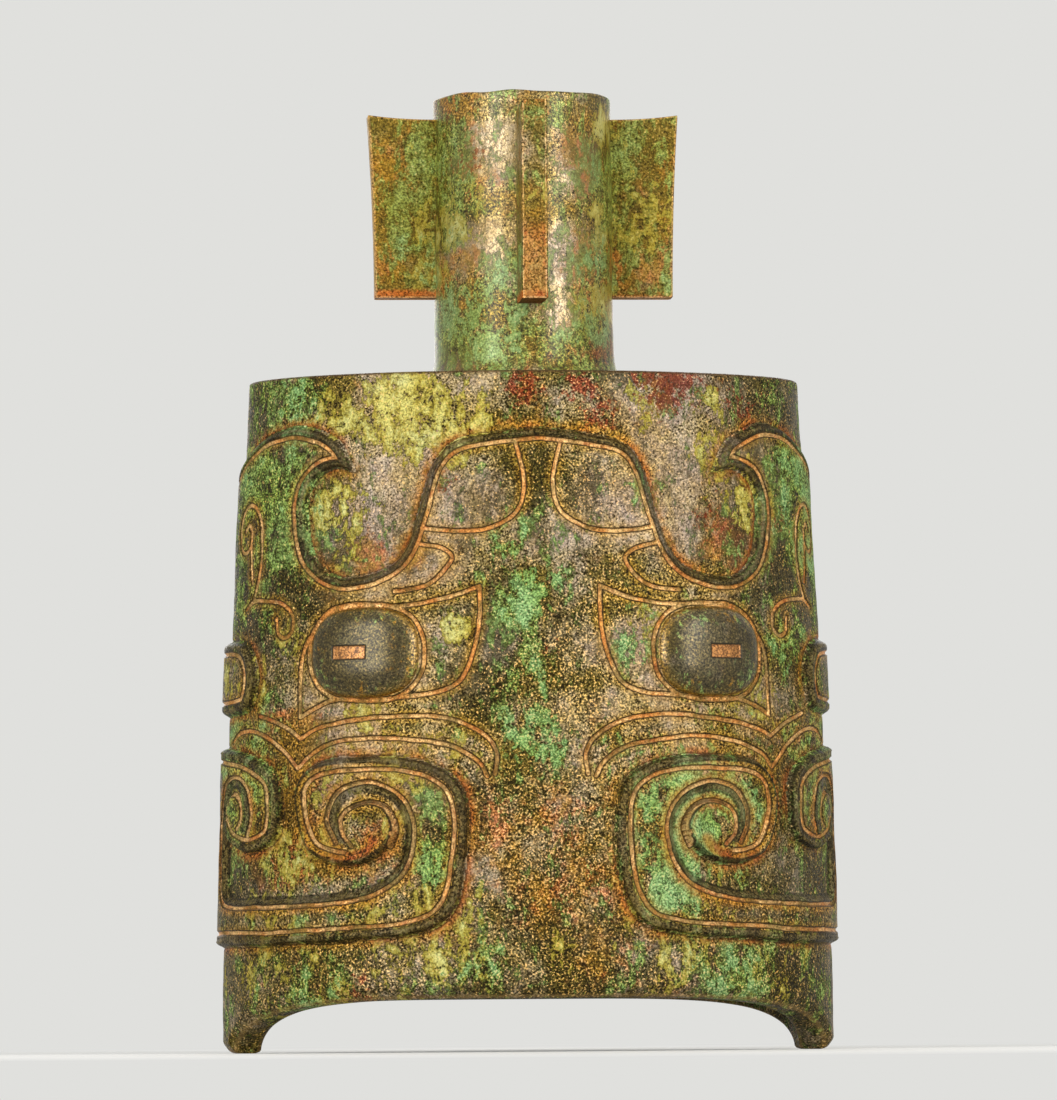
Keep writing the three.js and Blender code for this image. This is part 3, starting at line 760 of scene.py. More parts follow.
# Patches of the patina on the front face, as the place across and up in millimetres, the reach
# and the strength. The back has the same patches the other way round.
patches = {
    "mint": [
        (-108, 308, 20, 0.8), (-118, 262, 30, 0.5), (-14, 240, 20, 1.0), (-112, 288, 14, 0.7),
        (-3, 214, 20, 1.2), (-22, 222, 14, 0.8), (-2, 145, 22, 1.3), (0, 176, 18, 0.7),
        (50, 266, 14, 0.7), (74, 114, 36, 1.6), (62, 88, 26, 1.6), (88, 92, 20, 1.4),
        (92, 150, 18, 0.8), (128, 258, 24, 1.1), (-28, 46, 22, 0.8), (88, 36, 26, 0.8),
        (-134, 120, 18, 0.6), (48, 196, 18, 0.9), (-52, 87, 11, 1.6), (125, 190, 20, 0.8),
        (-50, 160, 10, 0.5), (-22, 346, 22, 1.2), (-8, 372, 14, 0.7), (-50, 372, 12, 0.7),
        (132, 150, 18, 0.6), (-106, 60, 16, 0.6), (20, 344, 14, 0.6), (-36, 420, 14, 0.6),
        (40, 150, 14, 0.9), (-120, 40, 24, 0.6), (-140, 150, 18, 1.0), (133, 240, 16, 1.2),
        (124, 282, 16, 1.0), (44, 186, 12, 0.9), (52, 138, 16, 0.8), (-32, 350, 12, 0.9),
        (30, 376, 10, 0.7), (4, 352, 12, 0.9), (-54, 384, 10, 1.0), (-106, 30, 16, 1.0),
        (-20, 336, 16, 1.3), (32, 342, 12, 1.0), (36, 420, 8, 0.9),
    ],
    "yellow": [
        (-62, 302, 30, 1.15), (-40, 294, 24, 1.05), (-92, 300, 16, 1.0), (-90, 256, 20, 1.0),
        (-88, 238, 14, 0.8), (-40, 198, 9, 1.0), (-45, 140, 18, 0.8), (-92, 118, 22, 0.8),
        (-138, 176, 20, 0.8), (54, 306, 20, 0.7), (104, 262, 20, 0.8), (-125, 70, 20, 0.7),
        (100, 165, 20, 0.7), (-110, 190, 18, 0.6), (10, 42, 20, 0.5), (-38, 392, 16, 0.9),
        (38, 392, 14, 0.8), (-80, 152, 20, 0.7), (86, 92, 20, 0.6), (-66, 128, 12, 0.8),
        (-28, 404, 12, 0.7), (34, 350, 16, 0.8), (60, 400, 18, 0.6), (-60, 400, 18, 0.2),
        (-60, 54, 40, 0.8), (60, 54, 36, 0.7), (0, 404, 10, 0.7), (-120, 40, 30, 0.7),
        (110, 40, 30, 0.6), (-112, 92, 22, 0.9), (-66, 106, 10, 0.9), (-66, 132, 14, 0.9),
        (52, 200, 14, 0.8), (84, 304, 13, 0.9), (84, 284, 12, 0.9), (88, 264, 12, 0.8),
        (-96, 26, 14, 0.9), (-46, 372, 12, 0.9), (40, 440, 12, 0.8),
    ],
    # The four broad moss patches at 150 to 160 mm either side lie near the side ridges: their dark moss
    # is partly painted shade, darkening the sides where the light falls off.
    "moss": [
        (-150, 250, 64, 1.5), (150, 250, 60, 1.3), (-160, 120, 54, 1.3), (160, 120, 54, 1.3),
        (-125, 300, 30, 0.9), (122, 296, 26, 0.8), (0, 260, 30, 0.6), (-16, 200, 24, 0.9),
        (40, 24, 60, 0.5), (-20, 24, 60, 0.5), (-90, 20, 60, 0.5), (110, 30, 50, 0.8),
        (-46, 112, 26, 0.8), (110, 310, 30, 0.6), (-42, 334, 16, 1.0), (40, 330, 18, 1.1),
        (-26, 174, 16, 0.8), (-112, 24, 24, 0.5), (112, 24, 20, 0.8), (-54, 104, 15, 0.9),
        (-40, 172, 10, 0.8), (-58, 402, 12, 0.9), (-40, 400, 16, 1.2), (44, 400, 16, 1.2),
        (-42, 430, 16, 1.0), (44, 430, 16, 1.0), (84, 100, 30, 0.4),
    ],
    "ochre": [
        (-117, 118, 18, 1.4), (-27, 108, 18, 1.2), (-112, 96, 20, 1.3), (-76, 98, 12, 1.4),
        (-97, 226, 15, 1.0), (106, 236, 16, 0.9), (120, 150, 14, 0.9), (-7, 300, 16, 0.5),
        (-38, 440, 20, 1.0), (34, 430, 16, 1.2), (36, 372, 18, 1.2), (30, 350, 12, 0.8),
        (-58, 410, 24, 0.9), (70, 420, 10, 0.8), (-36, 62, 18, 0.8), (-76, 92, 14, 0.8),
        (60, 312, 12, 0.6), (112, 92, 18, 0.6), (-36, 368, 16, 0.9), (2, 84, 44, 0.9),
        (26, 60, 28, 1.0), (30, 120, 16, 0.6), (60, 386, 30, 0.7), (-80, 232, 10, 1.5),
        (-60, 236, 9, 1.3), (92, 240, 16, 1.3), (-112, 150, 12, 1.8), (-115, 128, 12, 1.8),
        (-126, 92, 16, 1.5), (-40, 410, 16, 1.2), (40, 410, 18, 1.2), (40, 350, 14, 1.3),
        (-38, 360, 12, 0.9), (-68, 426, 14, 1.2), (-66, 376, 12, 1.0), (44, 440, 10, 1.1),
    ],
    # The bare patches at 17 to 21 mm either side of the middle and 350 to 420 mm up lie on the stem
    # where its two highlights fall: there the pale bare bronze is a painted highlight.
    "bare": [
        (-66, 250, 40, 1.9), (84, 262, 40, 1.5), (58, 310, 26, 1.2), (-72, 34, 18, 0.5),
        (38, 186, 18, 1.1), (-30, 262, 22, 0.7), (38, 262, 26, 1.1), (-50, 184, 26, 0.7),
        (-78, 152, 36, 0.8), (78, 152, 36, 0.7), (-58, 120, 20, 1.3), (-66, 312, 20, 1.0),
        (80, 312, 28, 0.4), (50, 168, 24, 0.8), (60, 396, 24, 1.1), (-17, 420, 20, 1.3),
        (21, 420, 20, 1.3), (-34, 318, 20, 0.8), (50, 190, 20, 0.8), (-17, 385, 20, 1.2),
        (21, 380, 20, 1.3), (19, 350, 14, 1.0),
    ],
    "red": [
        (62, 314, 18, 1.1), (-7, 313, 12, 1.0), (84, 250, 14, 0.5), (30, 296, 12, 0.6),
        (6, 190, 9, 0.5), (-45, 270, 10, 0.5), (100, 305, 12, 0.8), (-28, 424, 10, 0.8),
        (36, 336, 10, 1.0), (116, 246, 10, 0.7), (-86, 28, 12, 0.6), (20, 312, 12, 0.8),
    ],
    "gold": [
        (4, 92, 50, 1.0), (6, 170, 34, 0.9), (8, 42, 40, 0.8), (-66, 262, 26, 0.1),
        (60, 150, 20, 0.3), (20, 262, 26, 0.5), (-90, 40, 50, 0.6), (90, 40, 50, 0.6),
        (28, 200, 24, 0.7), (30, 140, 24, 0.6), (-30, 140, 24, 0.5),
    ],
}


patch_blend = 0.008
patch_fade, patch_core = 1.5, 0.3


def patch_amounts(points):
    """How much of each patch every point has. The back has them turned half round, and at the
    sides they run into each other."""
    behind = ease(points[..., 1], -patch_blend, patch_blend)
    across_mm, up_mm = points[..., 0] / millimetre, points[..., 2] / millimetre
    amounts = {}
    for key, spots in patches.items():
        total = np.zeros(points.shape[:2])
        for across, up, reach, strength in spots:
            fade, core = reach * patch_fade, reach * patch_core
            in_front = ease(np.hypot(across_mm - across, up_mm - up), fade, core)
            at_back = ease(np.hypot(across_mm + across, up_mm - up), fade, core)
            total = np.maximum(total, strength * (in_front * (1 - behind) + at_back * behind))
        amounts[key] = total
    return amounts


dark_bronze = colour(32, 25, 5)
olive_bronze = colour(90, 78, 34)
bare_bronze = colour(141, 124, 93)
pale_bronze = colour(176, 157, 127)
purple_bronze = colour(118, 96, 80)
gold_grain = colour(204, 160, 104)
black_moss = colour(42, 39, 12)
green_moss = colour(84, 96, 36)
leaf_moss = colour(124, 148, 74)
yellow_crust = colour(154, 142, 52)
cream_crust = colour(200, 196, 120)
mint_crust = colour(92, 124, 64)
pale_mint = colour(152, 186, 112)
sea_mint = colour(146, 184, 108)
ochre_earth = colour(150, 108, 32)
orange_earth = colour(174, 92, 38)
brown_earth = colour(104, 66, 30)
red_oxide = colour(112, 42, 24)

# Tints multiply the layers: in the hollows, on the crests of the grains, and over broad areas
shadow_tint = (0.25, 0.22, 0.06)
crest_tint = (1.86, 1.92, 1.84)
warm_tint = (1.05, 0.99, 0.76, 1)
cool_tint = (1.0, 1.05, 1.32, 1)

# Crust hangs in streaks, drawn out upwards. The cracks' spacing is in millimetres.
streak_stretch = (1, 1, 0.55)
crack_spacing = 2.6
crust_thickness = 0.0007
bronze_specular = 0.12
wax_roughness = 0.3


class Patina(Finish):
    """Bronze under layers of crust and burial earth. green, ochre and bare shift the balance,
    and spotted adds the patches that the mesh carries."""

    def __init__(self, name, green=0.0, ochre=0.0, bare=0.0, spotted=False):
        super().__init__(name)

        def patch(key):
            return self.attribute(key) if spotted else 0.0

        in_metres = self.node("ShaderNodeTexCoord", {}, {}, "Object")
        self.place = self.node(
            "ShaderNodeVectorMath", {"operation": "SCALE"}, {0: in_metres, "Scale": 1 / millimetre}
        )
        streaked = self.node(
            "ShaderNodeVectorMath", {"operation": "MULTIPLY"}, {0: self.place, 1: streak_stretch}
        )
        self.grain = self.noise(self.place, size=1.0, detail=2, roughness=0.6)
        self.fleck = self.noise(self.place, size=3.4, detail=4, roughness=0.75, seed=3)
        self.leaf = self.noise(streaked, size=6, detail=6, roughness=0.75, seed=31, warp=0.6)
        self.blotch = self.noise(self.place, size=32, detail=7, roughness=0.68, seed=5)
        self.cloud = self.noise(streaked, size=13, detail=7, roughness=0.7, seed=9, warp=0.3)
        self.drift = self.noise(streaked, size=15, detail=7, roughness=0.7, seed=14, warp=0.3)
        self.stain = self.noise(self.place, size=17, detail=8, roughness=0.74, seed=21)
        grain, fleck, leaf, blotch = self.grain, self.fleck, self.leaf, self.blotch
        cloud, drift, stain = self.cloud, self.drift, self.stain

        bareness = blotch + patch("bare") * 0.13 + bare
        self.tone = self.mix(bareness.soft(0.44, 0.60), olive_bronze, bare_bronze)
        self.layer(bareness.soft(0.55, 0.70) * 0.8, pale_bronze)
        self.layer((stain * 0.6 + bareness * 0.4).soft(0.50, 0.60) * 0.55, purple_bronze)

        earth = (stain * 0.7 + fleck * 0.3 + patch("ochre") * 0.14 + ochre).soft(0.55, 0.68)
        self.layer(earth * 0.75, self.mix(cloud.soft(0.45, 0.58), ochre_earth, orange_earth))

        # Dark moss, strongest in the moss patches; near the side ridges it is partly painted shade
        dark = drift * 0.38 + leaf * 0.44 + fleck * 0.18 + patch("moss") * 0.12 + green * 0.5
        self.layer(dark.soft(0.50, 0.57) * (patch("moss") * 0.2 + 0.62), black_moss)
        veins = cloud * 0.5 + leaf * 0.5 + patch("moss") * 0.05 + patch("mint") * 0.06 + green
        moss = veins.soft(0.54, 0.59)
        moss_tone = self.mix((veins * 0.5 + fleck * 0.5).soft(0.50, 0.60), green_moss, leaf_moss)
        self.layer(moss * 0.85, moss_tone)

        ripe = drift * 0.45 + leaf * 0.38 + fleck * 0.17 + patch("yellow") * 0.13 + green * 0.5
        yellow = ripe.soft(0.60, 0.62) * fleck.soft(0.39, 0.43)
        self.layer(yellow * 0.9, self.mix(ripe.soft(0.62, 0.70), yellow_crust, cream_crust))

        red = (stain * 0.4 + fleck * 0.6 + patch("red") * 0.17).soft(0.60, 0.67)
        self.layer(red * 0.85, red_oxide)

        fresh = cloud * 0.4 + leaf * 0.35 + fleck * 0.25 + patch("mint") * 0.095 + green * 0.5
        mint = fresh.soft(0.595, 0.62)
        bright_mint = self.mix(blotch.soft(0.44, 0.54), sea_mint, pale_mint)
        mint_tone = self.mix((fresh * 0.6 + grain * 0.4).soft(0.54, 0.66), mint_crust, bright_mint)
        self.layer(mint * 0.85, mint_tone)

        sandy = blotch * 0.2 + patch("gold") * 0.5 + bare
        gold = (grain * 0.82 + fleck * 0.18 + sandy * 0.08).soft(0.60, 0.65)
        self.layer(gold * 0.6, gold_grain)
        self.crust = moss.larger(yellow).larger(earth).larger(mint)
        self.smooth = (yellow.larger(mint) * 0.72).larger(bareness.soft(0.52, 0.64) * 0.6)

    def noise(self, place, size, detail, roughness, seed=0.0, warp=0.0):
        """Noise with features of that size in millimetres. Its values lie round a half."""
        return self.node(
            "ShaderNodeTexNoise",
            {"noise_dimensions": "4D"},
            {"Vector": place, "W": seed, "Scale": 1 / size, "Detail": detail, "Roughness": roughness,
             "Distortion": warp},
        )

    def attribute(self, name):
        return self.node("ShaderNodeAttribute", {"attribute_name": name}, {}, "Fac")

    def gap(self, name):
        """A distance that the mesh carries, in millimetres."""
        return self.attribute(name) * (1 / millimetre)

    def layer(self, share, tone):
        self.tone = self.mix(share, self.tone, tone)

    def tinted(self, tint):
        return self.node("ShaderNodeVectorMath", {"operation": "MULTIPLY"}, {0: self.tone, 1: tint})

    def close(self, roughness, relief, metal, dull=1.0, wax=0.0):
        """Fine dark and pale grains over all the layers, and the surface that they make."""
        cool = (self.blotch * 0.4 + self.cloud * 0.6).soft(0.42, 0.60)
        self.tone = self.tinted(self.mix(cool, warm_tint, cool_tint))
        grains = (self.grain * 0.75 + self.fleck * 0.25).soft(0.41, 0.60)
        grained = self.mix(grains, self.tinted(shadow_tint), self.tinted(crest_tint))
        self.tone = self.mix(self.smooth, grained, self.tone)
        cells = self.node(
            "ShaderNodeTexVoronoi",
            {"feature": "DISTANCE_TO_EDGE"},
            {"Vector": self.place, "Scale": 1 / crack_spacing, "Randomness": 1.0},
            "Distance",
        )
        cracks = (cells + self.grain * 0.35).soft(0.24, 0.16)
        self.layer(cracks * 0.35, dark_bronze)
        pitted = self.grain * 0.45 + self.fleck * 0.35 + self.leaf * 0.2 + self.smooth * 0.04
        pits = pitted.soft(0.455, 0.415)
        self.layer(pits * 0.8, dark_bronze)
        raised = self.grain * 0.6 + self.fleck * 0.9 + self.crust * 0.4 + self.blotch * 0.6
        bump = self.node(
            "ShaderNodeBump",
            {},
            {"Height": raised - pits * 0.4 - cracks * 0.25, "Strength": relief,
             "Distance": crust_thickness},
        )
        self.dress({
            "Base Color": self.tone,
            "Roughness": roughness + self.crust * 0.2 * dull + pits * 0.2,
            "Metallic": metal - self.crust * metal * dull,
            "Normal": bump,
            "Specular IOR Level": bronze_specular,
            "Coat Weight": wax,
            "Coat Roughness": wax_roughness,
        })


halo_earth = colour(166, 120, 42)
foot_rust = colour(160, 82, 32)
arm_rust = colour(138, 60, 22)
rim_dark = colour(36, 29, 7)
# Pale crest of the rims: a painted highlight on worn bronze
rim_highlight = colour(112, 97, 62)
line_halo = colour(170, 128, 48)
groove_shadow = colour(44, 31, 12)
pale_earth = colour(248, 202, 134)
sandy_earth = colour(228, 158, 82)
rusty_earth = colour(176, 92, 46)
olive_earth = colour(150, 136, 60)
foot_shadow = colour(50, 38, 20)
# Pale ochre of the painted highlight along the mouth's edge
mouth_edge_highlight = colour(160, 128, 74)
crown_edge_brown = colour(84, 60, 34)

shell_patina = Patina("shell_patina", spotted=True)
fleck, leaf, blotch = shell_patina.fleck, shell_patina.leaf, shell_patina.blotch
cloud, drift, stain = shell_patina.cloud, shell_patina.drift, shell_patina.stain
line, strip, low = shell_patina.gap("line"), shell_patina.gap("strip"), shell_patina.gap("low")
wander = (fleck - 0.5) * 1.6
worn = (cloud * 0.6 + leaf * 0.6).soft(0.54, 0.72)
# Earth along the foot of each rise, rust in the arm, and dark worn rims with a pale crest, which is a
# painted highlight along each rounded rim as well as worn bronze
halo = (low + wander * 5).soft(7.5, 0.3)
halo_share = (0.15 + stain.soft(0.42, 0.58) * 0.55) * (1.1 - shell_patina.attribute("moss") * 0.5)
shell_patina.layer(halo * halo_share, halo_earth)
rust = (low + wander * 3).soft(5, 0.2) * (blotch * 0.5 + drift * 0.5).soft(0.46, 0.56)
shell_patina.layer(rust * 0.7, foot_rust)
arm_earth = shell_patina.mix(drift.soft(0.44, 0.54), ochre_earth, arm_rust)
shell_patina.layer(shell_patina.attribute("arm") * 0.8, arm_earth)
rim = (strip + wander).soft(0.5, -0.6)
shell_patina.layer(rim * (0.86 - worn * 0.5), rim_dark)
# Painted highlight: a pale band along the middle of each rim, where the bronze is also worn
rim_crest_highlight = (strip + wander * 0.8).soft(-1.0, -1.8) * (leaf * 0.6 + drift * 0.5).soft(0.44, 0.62)
shell_patina.layer(rim_crest_highlight * 0.7, rim_highlight)
near_line = (line + wander * 3).soft(5.5, 1.0) * (1 - rim)
shell_patina.layer(near_line * 0.4, line_halo)
shell_patina.close(roughness=0.37, relief=1.0, metal=0.46, wax=0.02)
# Pale earth fills the engraved grooves over the grains, and their edges lie in shadow
groove_edge = (line + wander * 0.4).soft(1.75, 1.25)
shell_patina.layer(groove_edge * 0.85, groove_shadow)
groove_earth = shell_patina.mix(drift.soft(0.44, 0.58), pale_earth, sandy_earth)
rusty = (stain * 0.7 + fleck * 0.4).soft(0.54, 0.66)
groove_earth = shell_patina.mix(rusty * 0.75, groove_earth, rusty_earth)
groove_earth = shell_patina.mix(worn * 0.6, groove_earth, olive_earth)
groove_earth = shell_patina.mix(shell_patina.grain.soft(0.56, 0.40) * 0.5, groove_earth, brown_earth)
shell_patina.layer((line + wander * 0.5).soft(1.05, 0.6) * (0.97 - worn * 0.4), groove_earth)
shell_patina.layer((low + wander * 0.4).soft(1.2, 0.3) * 0.7, foot_shadow)
mouth, crown_fall = shell_patina.gap("mouth"), shell_patina.gap("crown")
# Painted highlight: a pale ochre band along the rounded edge of the mouth
shell_patina.layer((mouth + wander).soft(2.4, 1.2) * mouth.soft(0.1, 0.6) * 0.35, mouth_edge_highlight)
# Darker brown along the top edge of the crown
shell_patina.layer((crown_fall + wander).soft(1.8, 0.6) * 0.7, crown_edge_brown)
shell_patina.dress({"Base Color": shell_patina.tone})


def quarter(face, side):
    """The sign and the facing that turn a piece of the front's right half to its own quarter."""
    sign = 1 if (side == "right") == (face == "front") else -1
    return sign, np.array([sign, 1, 1]) if face == "front" else np.array([-sign, -1, 1])


# The lines wander as a hand does, but not where the quarters meet, nor at the mouth and crown
cast_unevenness = 0.00028
even_mouth, uneven_from = 0.001, 0.012
hand_wander = 0.0007
still_foot, free_foot = 0.02, 0.15
still_crown, free_crown = 0.99, 0.94
wander_share = np.sin(grid_girth * math.pi) * ease(grid_height, still_foot, free_foot)
wander_share *= ease(grid_height, still_crown, free_crown)
cast_share = ease(edge_gap, even_mouth, uneven_from)
for face in ("front", "back"):
    for side in ("left", "right"):
        sign, facing = quarter(face, side)
        plain = wall_point(grid_girth, grid_height, base_level)
        plain[..., 0] *= sign
        which = 1 if face == "front" else 2
        girth = grid_girth + hand_wander * waves(plain, which) * wander_share / quarter_girth
        height = grid_height + hand_wander * waves(plain[..., ::-1], which) * wander_share / body_height
        turned = plain * (np.array([1, 1, 1]) if face == "front" else np.array([-1, -1, 1]))
        level = base_level + cast_unevenness * waves(turned) * cast_share
        points = wall_point(girth, height, level)
        normals = grid_normals(points)
        attributes = {}
        for key, values in gap_rows.items():
            padded = np.full(grid_girth.shape, 0.0 if key == "arm" else far_away)
            padded[outer] = values
            attributes[key] = padded
        attributes |= {"mouth": edge_gap, "crown": np.maximum(crown_gap, 0)}
        attributes |= patch_amounts(points * facing)
        shell = grid_mesh(
            f"{face}_{side}_shell", points * facing, normals * facing, sign < 0, attributes
        )
        shell.data.materials.append(shell_patina.material)
        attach(shell, "root")
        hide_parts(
            f"{face}_wall", f"{face}_mask_field", f"{face}_{side}_jaw_scroll", f"{face}_{side}_ear"
        )

# Eyeballs: four cushions of solid bronze, cast with the wall and set in a ring groove. Handling
# has kept the domes dark and smooth. Each has a slot for a pupil, full of burial earth.
eye_height = 0.007
eye_sink = 0.0006
dome_fullness = 3
dome_flatness = 0.55
pupil_length, pupil_tall = 0.016, 0.0066
pupil_depth = 0.0007
pupil_shift = np.array([0.022 * quarter_girth, 0])
slot_edge, slot_floor = 0.0001, -0.0004
eye_columns, eye_rows = 132, 104
smooth_olive = colour(59, 52, 35)
sandy_pupil = colour(172, 118, 62)

eye_patina = Patina("eye_patina", green=-0.03, ochre=-0.02, bare=-0.06)
fleck, leaf, cloud = eye_patina.fleck, eye_patina.leaf, eye_patina.cloud
eye_edge, eye_slot = eye_patina.gap("edge"), eye_patina.gap("slot")
eye_patina.layer((eye_edge + fleck * 6).soft(3, 9) * 0.75, smooth_olive)
eye_flecks = (fleck * 0.55 + leaf * 0.45).soft(0.53, 0.57) * eye_edge.soft(11, 4)
eye_patina.layer(eye_flecks * 0.7, eye_patina.mix(cloud.soft(0.48, 0.54), ochre_earth, leaf_moss))
eye_patina.layer((eye_edge + fleck * 4).soft(5.0, 2.0) * 0.5, ochre_earth)
eye_patina.smooth = eye_patina.smooth.larger(0.3)
eye_patina.close(roughness=0.28, relief=0.38, metal=0.62, dull=0.75, wax=0.4)
eye_patina.layer(eye_slot.soft(0.5, 0.2) * 0.85, dark_bronze)
pupil_earth = eye_patina.mix(eye_patina.grain.soft(0.40, 0.60), brown_earth, sandy_pupil)
eye_patina.layer(eye_slot.soft(-0.1, -0.4), pupil_earth)
eye_patina.dress({"Base Color": eye_patina.tone})

# A square grid is pulled in to the eye's squared oval, which goes up to 1 across and up
eye_a, eye_b = np.meshgrid(np.linspace(-1, 1, eye_columns + 1), np.linspace(-1, 1, eye_rows + 1))
eye_reach = np.maximum(np.maximum(abs(eye_a), abs(eye_b)), 1e-9)
pull = 1 + (eye_reach / np.maximum(squared_norm(eye_a, eye_b), 1e-9) - 1) * eye_reach**2
eye_a, eye_b = eye_a * pull, eye_b * pull
eye_norm = squared_norm(eye_a, eye_b)
eye_offset = np.stack([eye_a * eye_length / 2, eye_b * eye_tall / 2], -1)
eye_dome = np.maximum(1 - eye_norm**dome_fullness, 0) ** dome_flatness
from_pupil = abs(eye_offset - pupil_shift) - np.array([pupil_length, pupil_tall]) / 2
slot_gap = from_pupil.max(axis=-1)
dome_level = mask_height - eye_sink + (eye_height + eye_sink) * eye_dome
dome_level -= pupil_depth * ease(slot_gap, slot_edge, slot_floor)
seat_level = np.full(dome_level.shape, mask_height - 2 * eye_sink)
eye_flat = flat([eye_centre_shares])[0] + eye_offset
eye_girth = np.interp(eye_flat[..., 0], arc_samples, girth_samples)
eye_up = eye_flat[..., 1] / body_height
eye_gaps = {
    "edge": np.concatenate([(1 - eye_norm) * eye_tall / 2, np.zeros(seat_level.shape)]),
    "slot": np.concatenate([slot_gap, np.full(seat_level.shape, far_away)]),
}
for face in ("front", "back"):
    for side in ("left", "right"):
        sign, facing = quarter(face, side)
        top = wall_point(eye_girth, eye_up, dome_level) * facing
        top[..., 1] -= cast_unevenness * waves(top) * facing[1]
        seat = wall_point(eye_girth, eye_up, seat_level) * facing
        eye = grid_mesh(
            f"{face}_{side}_eyeball",
            np.concatenate([top, seat[::-1]]),
            flip=sign < 0,
            attributes=eye_gaps,
            strip_ends=True,
        )
        eye.data.materials.append(eye_patina.material)
        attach(eye, "root")
        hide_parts(f"{face}_{side}_eye")

# Crown: the flat leaf-shaped top of the bell, cast in one with the walls, with the round opening
# into the stem.
crown_thickness = 0.010
crown_edge_level = -0.0026
crown_proud = 0.0002
crown_edge_drop = 0.0005
crown_edge_start = 0.94
crown_unevenness = 0.0004
bore_radius = 0.035
crown_columns, crown_rings = 320, 44

crown_patina = Patina("crown_patina", green=0.04, spotted=True)
crown_patina.close(roughness=0.58, relief=0.5, metal=0.4)

# Its edge runs round the four quarters, which are mirrored from the front right one
crown_turns = np.linspace(0, 4, crown_columns, endpoint=False)
crown_girth = np.where(crown_turns % 2 > 1, 2 - crown_turns % 2, crown_turns % 2)
crown_line = wall_point(crown_girth, 1.0, crown_edge_level)
crown_line[:, 0] *= np.where(crown_turns > 2, -1, 1)
crown_line[:, 1] *= np.where((crown_turns > 1) & (crown_turns < 3), -1, 1)
crown_line[:, 1] *= abs(crown_girth - 1) > 1e-9
crown_angle = np.arctan2(crown_line[:, 1], crown_line[:, 0])
bore_line = bore_radius * np.stack([np.cos(crown_angle), np.sin(crown_angle)], -1)
ring_share = np.linspace(0, 1, crown_rings)[:, None]
plan = bore_line + (crown_line[:, :2] - bore_line) * ring_share[..., None]
crown_top = body_height + crown_proud - crown_edge_drop * ease(ring_share, crown_edge_start, 1.0)
crown_top = np.broadcast_to(crown_top, plan.shape[:2])
crown_waves = waves(np.concatenate([plan, crown_top[..., None]], -1))
crown_top = crown_top + crown_unevenness * crown_waves * np.sin(ring_share * math.pi)
under = np.full(plan.shape[:2], body_height - crown_thickness)
crown_points = np.concatenate(
    [np.concatenate([plan, crown_top[..., None]], -1),
     np.concatenate([plan, under[..., None]], -1)[::-1]]
)
crown = grid_mesh("crown_top", crown_points, attributes=patch_amounts(crown_points), ring=True)
crown.data.materials.append(crown_patina.material)
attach(crown, "root")
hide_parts("crown_plate")

# Stem: a hollow tube of bronze cast over its own core and open at the top, where the bell is held
# or set on a stand. It spreads a little where it meets the crown.
stem_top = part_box("stem_tube")[1].z
stem_radius, stem_top_radius = 0.043, 0.0425
stem_sink = 0.0004
flare_reach, flare_height = 0.0065, 0.014
flare_roundness = 0.999
rim_round = 0.0012
rim_fall = 0.004
stem_unevenness = 0.00035
rim_unevenness = 0.0006
rim_unevenness_power = 8
stem_columns = 300
flare_rows, tube_rows = 18, 120
round_rows, bore_rows = 6, 40
stem_ochre = colour(158, 134, 54)

stem_patina = Patina("stem_patina", green=0.04, ochre=0.05, bare=-0.03, spotted=True)
stem_patina.layer(0.16, stem_ochre)
# Fewer grains on the stem, above all in its pale bare stripes, which are painted highlights
stem_patina.smooth = (stem_patina.smooth * 1.5).larger(0.25)
stem_patina.close(roughness=0.31, relief=0.4, metal=0.68, dull=0.55, wax=0.32)

# Its profile runs up the outside, over the rounded rim and down the bore
stem_length = stem_top - body_height
outer_up = np.concatenate(
    [np.linspace(0, flare_height, flare_rows),
     np.linspace(flare_height, stem_length - rim_round, tube_rows)[1:]]
)
flare_share = (1 - outer_up / flare_height).clip(0, 1)
outer_radius = stem_radius + (stem_top_radius - stem_radius) * outer_up / stem_length
outer_radius = outer_radius + flare_reach * (1 - np.sqrt(1 - flare_share**2 * flare_roundness))
round_turns = np.linspace(0, math.pi / 2, round_rows)
profile = [(radius, body_height - stem_sink + up) for radius, up in zip(outer_radius, outer_up)]
profile += [
    (stem_top_radius - rim_round + rim_round * math.cos(a), stem_top - rim_round * (1 - math.sin(a)))
    for a in round_turns[1:]
]
profile += [
    (bore_radius + rim_round - rim_round * math.sin(a), stem_top - rim_round * (1 - math.cos(a)))
    for a in round_turns
]
profile += [
    (bore_radius, up) for up in np.linspace(stem_top - rim_fall, body_height - stem_sink, bore_rows)
]
profile = np.array(profile)
turns = np.linspace(0, 2 * math.pi, stem_columns, endpoint=False)
stem_grid = np.stack(
    [profile[:, :1] * np.cos(turns), profile[:, :1] * np.sin(turns),
     np.repeat(profile[:, 1:], stem_columns, axis=1)], -1
)
stem_wave = stem_unevenness * waves(stem_grid)
stem_grid[..., :2] *= 1 + (stem_wave / profile[:, :1])[..., None]
stem_share = ((stem_grid[..., 2] - body_height) / stem_length).clip(0, 1)
stem_grid[..., 2] += rim_unevenness * waves(stem_grid, 1) * stem_share**rim_unevenness_power
stem = grid_mesh("hollow_stem", stem_grid, attributes=patch_amounts(stem_grid), ring=True)
stem.data.materials.append(stem_patina.material)
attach(stem, "root")
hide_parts("stem_tube")

